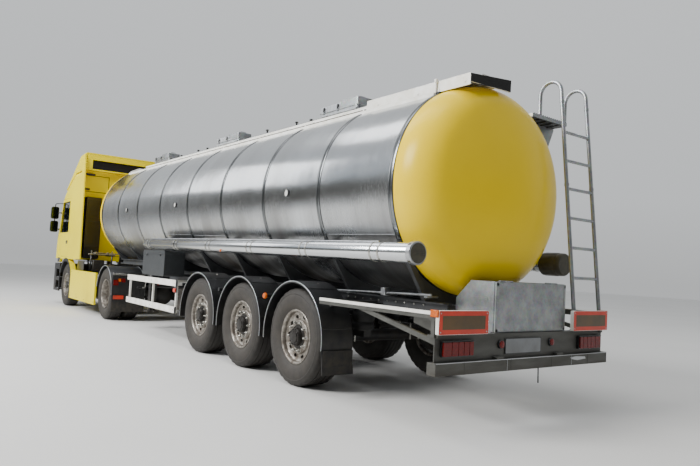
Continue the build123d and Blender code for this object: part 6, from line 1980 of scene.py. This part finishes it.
    def pad(self, name, low, high, axis):
        """A crowned cushion between two corners, thinner at its seams, with four sewn channels across it."""
        spans = [high[i] - low[i] for i in range(3)]
        centre = [(high[i] + low[i]) / 2 for i in range(3)]
        u, v = [i for i in range(3) if i != axis]
        steps = 24
        shape = bmesh.new()
        grids = []
        for side in (-1, 1):
            grid = []
            for i in range(steps + 1):
                row = []
                for j in range(steps + 1):
                    a, b = 2 * i / steps - 1, 2 * j / steps - 1
                    dome = max(0.0, (1 - abs(a) ** 5) * (1 - abs(b) ** 5)) ** 0.4
                    seam = 1 - 0.1 * math.exp(-((abs(a * 2.5) % 1 - 0.5) / 0.12) ** 2) * (abs(b) < 0.75)
                    point = [0, 0, 0]
                    pull = 1 - 0.03 * (1 - min(abs(a), abs(b)))
                    point[u] = centre[u] + a * spans[u] / 2 * (pull if abs(a) == 1 else 1)
                    point[v] = centre[v] + b * spans[v] / 2 * (pull if abs(b) == 1 else 1)
                    point[axis] = centre[axis] + side * spans[axis] / 2 * (0.22 + 0.78 * dome * seam)
                    row.append(shape.verts.new(point))
                grid.append(row)
            grids.append(grid)
        for grid in grids:
            for i in range(steps):
                for j in range(steps):
                    shape.faces.new((grid[i][j], grid[i + 1][j], grid[i + 1][j + 1], grid[i][j + 1]))
        rim = [(i, 0) for i in range(steps)] + [(steps, j) for j in range(steps)]
        rim += [(steps - i, steps) for i in range(steps)] + [(0, steps - j) for j in range(steps)]
        for (i, j), (m, n) in zip(rim, rim[1:] + rim[:1]):
            shape.faces.new((grids[0][i][j], grids[0][m][n], grids[1][m][n], grids[1][i][j]))
        bmesh.ops.recalc_face_normals(shape, faces=shape.faces)
        mesh = bpy.data.meshes.new(name)
        shape.to_mesh(mesh)
        shape.free()
        mesh.materials.append(bpy.data.materials["woven fabric"])
        soften(mesh, 60)
        return mesh


# Tractor chassis

# Lamps and reflectors on the drive flaps: y, height, width, tall, finish
FLAP_LAMPS = ((1.165, 0.785, 0.1, 0.11, "red acrylic"), (1.02, 0.83, 0.075, 0.075, "red acrylic"),
              (1.095, 0.835, 0.05, 0.06, "orange acrylic"), (1.1, 0.49, 0.2, 0.075, "reflective border"))
# Couplings on the stand behind the cab: y, finish of the handle
COUPLINGS = ((-0.2, "red acrylic"), (-0.1, "orange acrylic"), (0.0, "zinc plate"), (0.1, "zinc plate"),
             (0.2, "black lacquer"))
STAND_X = X_DRIVE + 2.28


class TANKER_OT_tractor(bpy.types.Operator):
    """Dress the tractor's chassis: catwalk, tanks, flaps with their lamps, line fittings and skirt edges."""

    bl_idname = "tanker.tractor"
    bl_label = "Tractor chassis"

    def execute(self, context):
        self.deck()
        self.flaps()
        self.tanks()
        self.fittings()
        return {"FINISHED"}

    def deck(self):
        """Tread plate of the catwalk, frame bolts and the fifth wheel's grease plate and bolts."""
        deck = Shape("tread plate")
        for start, end in ((1.31, 2.275), (2.33, 2.348)):
            deck.box((X_DRIVE + start, -0.42, 0.9302), (X_DRIVE + end, 0.42, 0.934), 0.0015)
        deck.place("catwalk_plate", "tractor", "bare_metal")
        bolt = Shape("zinc plate")
        for hand in HANDS:
            for z in (0.7, 0.85):
                bolt.bolt(facing_side(0, hand * 0.4298, z, hand), FRAME_BOLT)
        row = repeated(bolt, 10, (0.13, 0, 0), along_x(X_DRIVE - 0.48))
        place_piece("tractor_frame_bolts", row, "tractor", "bare_metal")
        plate = Shape("greasy iron")
        plate.lathe([(0.0, 0.12), (0.0015, 0.125), (0.0015, 0.2), (0.0, 0.205)],
                    facing_up(X_KING, 0, 1.1495), 48, closed=True)
        plate.use("zinc plate")
        for hand in HANDS:
            for x in (X_KING - 0.1, X_KING + 0.1):
                plate.bolt(facing_side(x, hand * 0.412, 1.05, hand), COUPLING_BOLT)
            plate.box((X_KING - 0.17, hand * 0.345, 0.9115), (X_KING + 0.17, hand * 0.445, 0.925), 0.003)
        plate.place("coupling_details", "tractor", "dark_paint")

    def flaps(self):
        """Edges of the drive mudguards, their wide rear flaps and the lamps and reflectors on them."""
        parts = Shape("galvanised sheet")
        lamps = Shape("black lacquer")
        back = X_DRIVE - 0.592
        for hand in HANDS:
            parts.use("galvanised sheet")
            for y in (1.231, 0.564):
                strip = arc(X_DRIVE, WHEEL_Z, 0.577, 12, 180)
                parts.tube([(px, hand * y, pz) for px, pz in strip], 0.007, 8)
            parts.use("rubber sheet")
            parts.panel(span(hand, 0.57, 1.225), (0.2, 0.98), 0.02, back, 0.008)
            for k in range(9):
                y = hand * (0.63 + 0.067 * k)
                parts.box((back - 0.003, y - 0.004, 0.24), (back + 0.001, y + 0.004, 0.66), 0.001)
            parts.use("zinc plate")
            parts.box((back - 0.012, hand * 0.58, 0.935), (back + 0.012, hand * 1.222, 0.965), 0.003)
            for y in (0.66, 0.9, 1.14):
                parts.bolt(facing_back(back - 0.012, hand * y, 0.95), FLAP_SCREW)
            for y, z, wide, tall, finish in FLAP_LAMPS:
                a, b = span(hand, y - wide / 2, y + wide / 2)
                low, high = z - tall / 2, z + tall / 2
                lamps.use("black lacquer")
                lamps.panel((a - 0.006, b + 0.006), (low - 0.006, high + 0.006), 0.01, back - 0.015, 0.014)
                lamps.use(finish)
                lamps.panel((a, b), (low, high), 0.008, back - 0.024, 0.012)
        parts.place("drive_flaps", "tractor", "black_plastic")
        lamps.place("drive_flap_lamps", "tractor", "lamp_red")

    def tanks(self):
        """Straps and filler caps of the fuel tanks, and the skirts' folded edges and fasteners."""
        tanks = Shape("brushed stainless")
        for hand in HANDS:
            tanks.use("brushed stainless")
            path = rounded(hand * 0.83 - 0.302, hand * 0.83 + 0.302, 0.338, 0.862, 0.072)
            for strap in (1.05, 1.62, 2.05):
                for x in (X_DRIVE + strap, X_DRIVE + strap + 0.03):
                    tanks.tube([(x, y, z) for y, z in path], 0.0045, 6, None, closed=True)
            tanks.use("black lacquer")
            tanks.lathe([(0, 0), (0, 0.05), (0.03, 0.05), (0.036, 0.044), (0.04, 0.0)],
                        facing_up(X_DRIVE + 1.92, hand * 0.9, 0.86), 32)
            tanks.use("cab paint")
            for z in (0.243, 0.925):
                tanks.box((X_DRIVE + 0.654, hand * 1.244, z - 0.002),
                          (X_DRIVE + 2.976, hand * 1.2475, z + 0.006), 0.001)
            tanks.use("black lacquer")
            for along in (0.72, 1.52, 2.22, 2.91):
                for z in (0.29, 0.88):
                    tanks.turned([(0, 0.011), (0.0015, 0.0105), (0.0025, 0.006)],
                                 facing_side(X_DRIVE + along, hand * 1.245, z, hand), 16)
        tanks.place("tank_straps", "tractor", "bare_metal")

    def fittings(self):
        """Couplings for the air and electric lines on the stand behind the cab, and the parts round it."""
        parts = Shape("zinc plate")
        back = STAND_X
        for y, finish in COUPLINGS:
            parts.use("zinc plate")
            parts.turned([(0, 0.034), (0.012, 0.034), (0.02, 0.026), (0.045, 0.026), (0.05, 0.03),
                          (0.062, 0.03), (0.066, 0.02)], facing_back(back + 0.002, y, 1.34), 24)
            parts.use(finish)
            parts.box((back - 0.086, y - 0.03, 1.326), (back - 0.062, y + 0.018, 1.354), 0.005)
        parts.use("black lacquer")
        posts = (0.5, 0.98)
        for y in posts:
            parts.box((back - 0.08, y - 0.016, 0.93), (back - 0.04, y + 0.016, 1.325), 0.006)
        for hand in HANDS:
            parts.upright([(back - 0.03, 0.86), (back + 0.64, 0.86), (back + 0.67, 0.95),
                           (back + 0.56, 1.165), (back - 0.03, 1.165)], 0.012, hand * 1.12)
            parts.box((back - 0.03, hand * 0.6, 1.15), (back + 0.56, hand * 1.12, 1.165), 0.004)
        parts.use("zinc plate")
        x = back - 0.06
        parts.rod((x, 0.42, 1.33), (x, 1.05, 1.33), 0.02, 16, None, 0.004)
        for y in posts:
            parts.rod((x, y, 1.33), (x, y, 1.42), 0.016, 12, None, 0.003)
        parts.rod((back - 0.14, 0.3, 1.36), (back - 0.14, 0.95, 1.37), 0.013, 12, None, 0.003)
        for y in (0.34, 0.62, 0.9):
            parts.turned([(0, 0.03), (0.03, 0.03), (0.036, 0.02)], facing_back(back - 0.13, y, 1.365), 20)
        parts.use("cast iron")
        parts.box((back - 0.1, 0.44, 0.93), (back, 0.56, 1.12), 0.012)
        parts.box((back - 0.12, 0.68, 0.93), (back, 0.94, 1.2), 0.014)
        parts.place("line_fittings", "tractor", "bare_metal")


# Sidebar and registration

OPERATORS = (TANKER_OT_stage, TANKER_OT_solids, TANKER_OT_tank, TANKER_OT_top, TANKER_OT_hoses,
             TANKER_OT_wheels, TANKER_OT_running_gear, TANKER_OT_tail, TANKER_OT_side, TANKER_OT_cab,
             TANKER_OT_tractor)


class TANKER_PT_panel(bpy.types.Panel):
    """Lists the pieces in the order they are built."""

    bl_idname = "TANKER_PT_panel"
    bl_label = "Tanker truck"
    bl_space_type = "VIEW_3D"
    bl_region_type = "UI"
    bl_category = "Tanker"

    def draw(self, context):
        for group in (context.scene.tanker_colours, context.scene.tanker_sizes):
            for name in type(group).__annotations__:
                self.layout.prop(group, name)
        for operator in OPERATORS:
            self.layout.operator(operator.bl_idname)


CLASSES = (TankerColours, TankerSizes) + OPERATORS + (TANKER_PT_panel,)


def register():
    """Registers the classes and the settings on the scene."""
    for item in CLASSES:
        bpy.utils.register_class(item)
    bpy.types.Scene.tanker_colours = PointerProperty(type=TankerColours)
    bpy.types.Scene.tanker_sizes = PointerProperty(type=TankerSizes)


def unregister():
    """Takes the settings and the classes off again."""
    del bpy.types.Scene.tanker_sizes
    del bpy.types.Scene.tanker_colours
    for item in reversed(CLASSES):
        bpy.utils.unregister_class(item)


def main():
    """Builds everything in order."""
    register()
    make_finishes()
    for operator in OPERATORS:
        group, name = operator.bl_idname.split(".")
        getattr(getattr(bpy.ops, group), name)()
    bpy.context.view_layer.update()


if __name__ == "__main__":
    main()
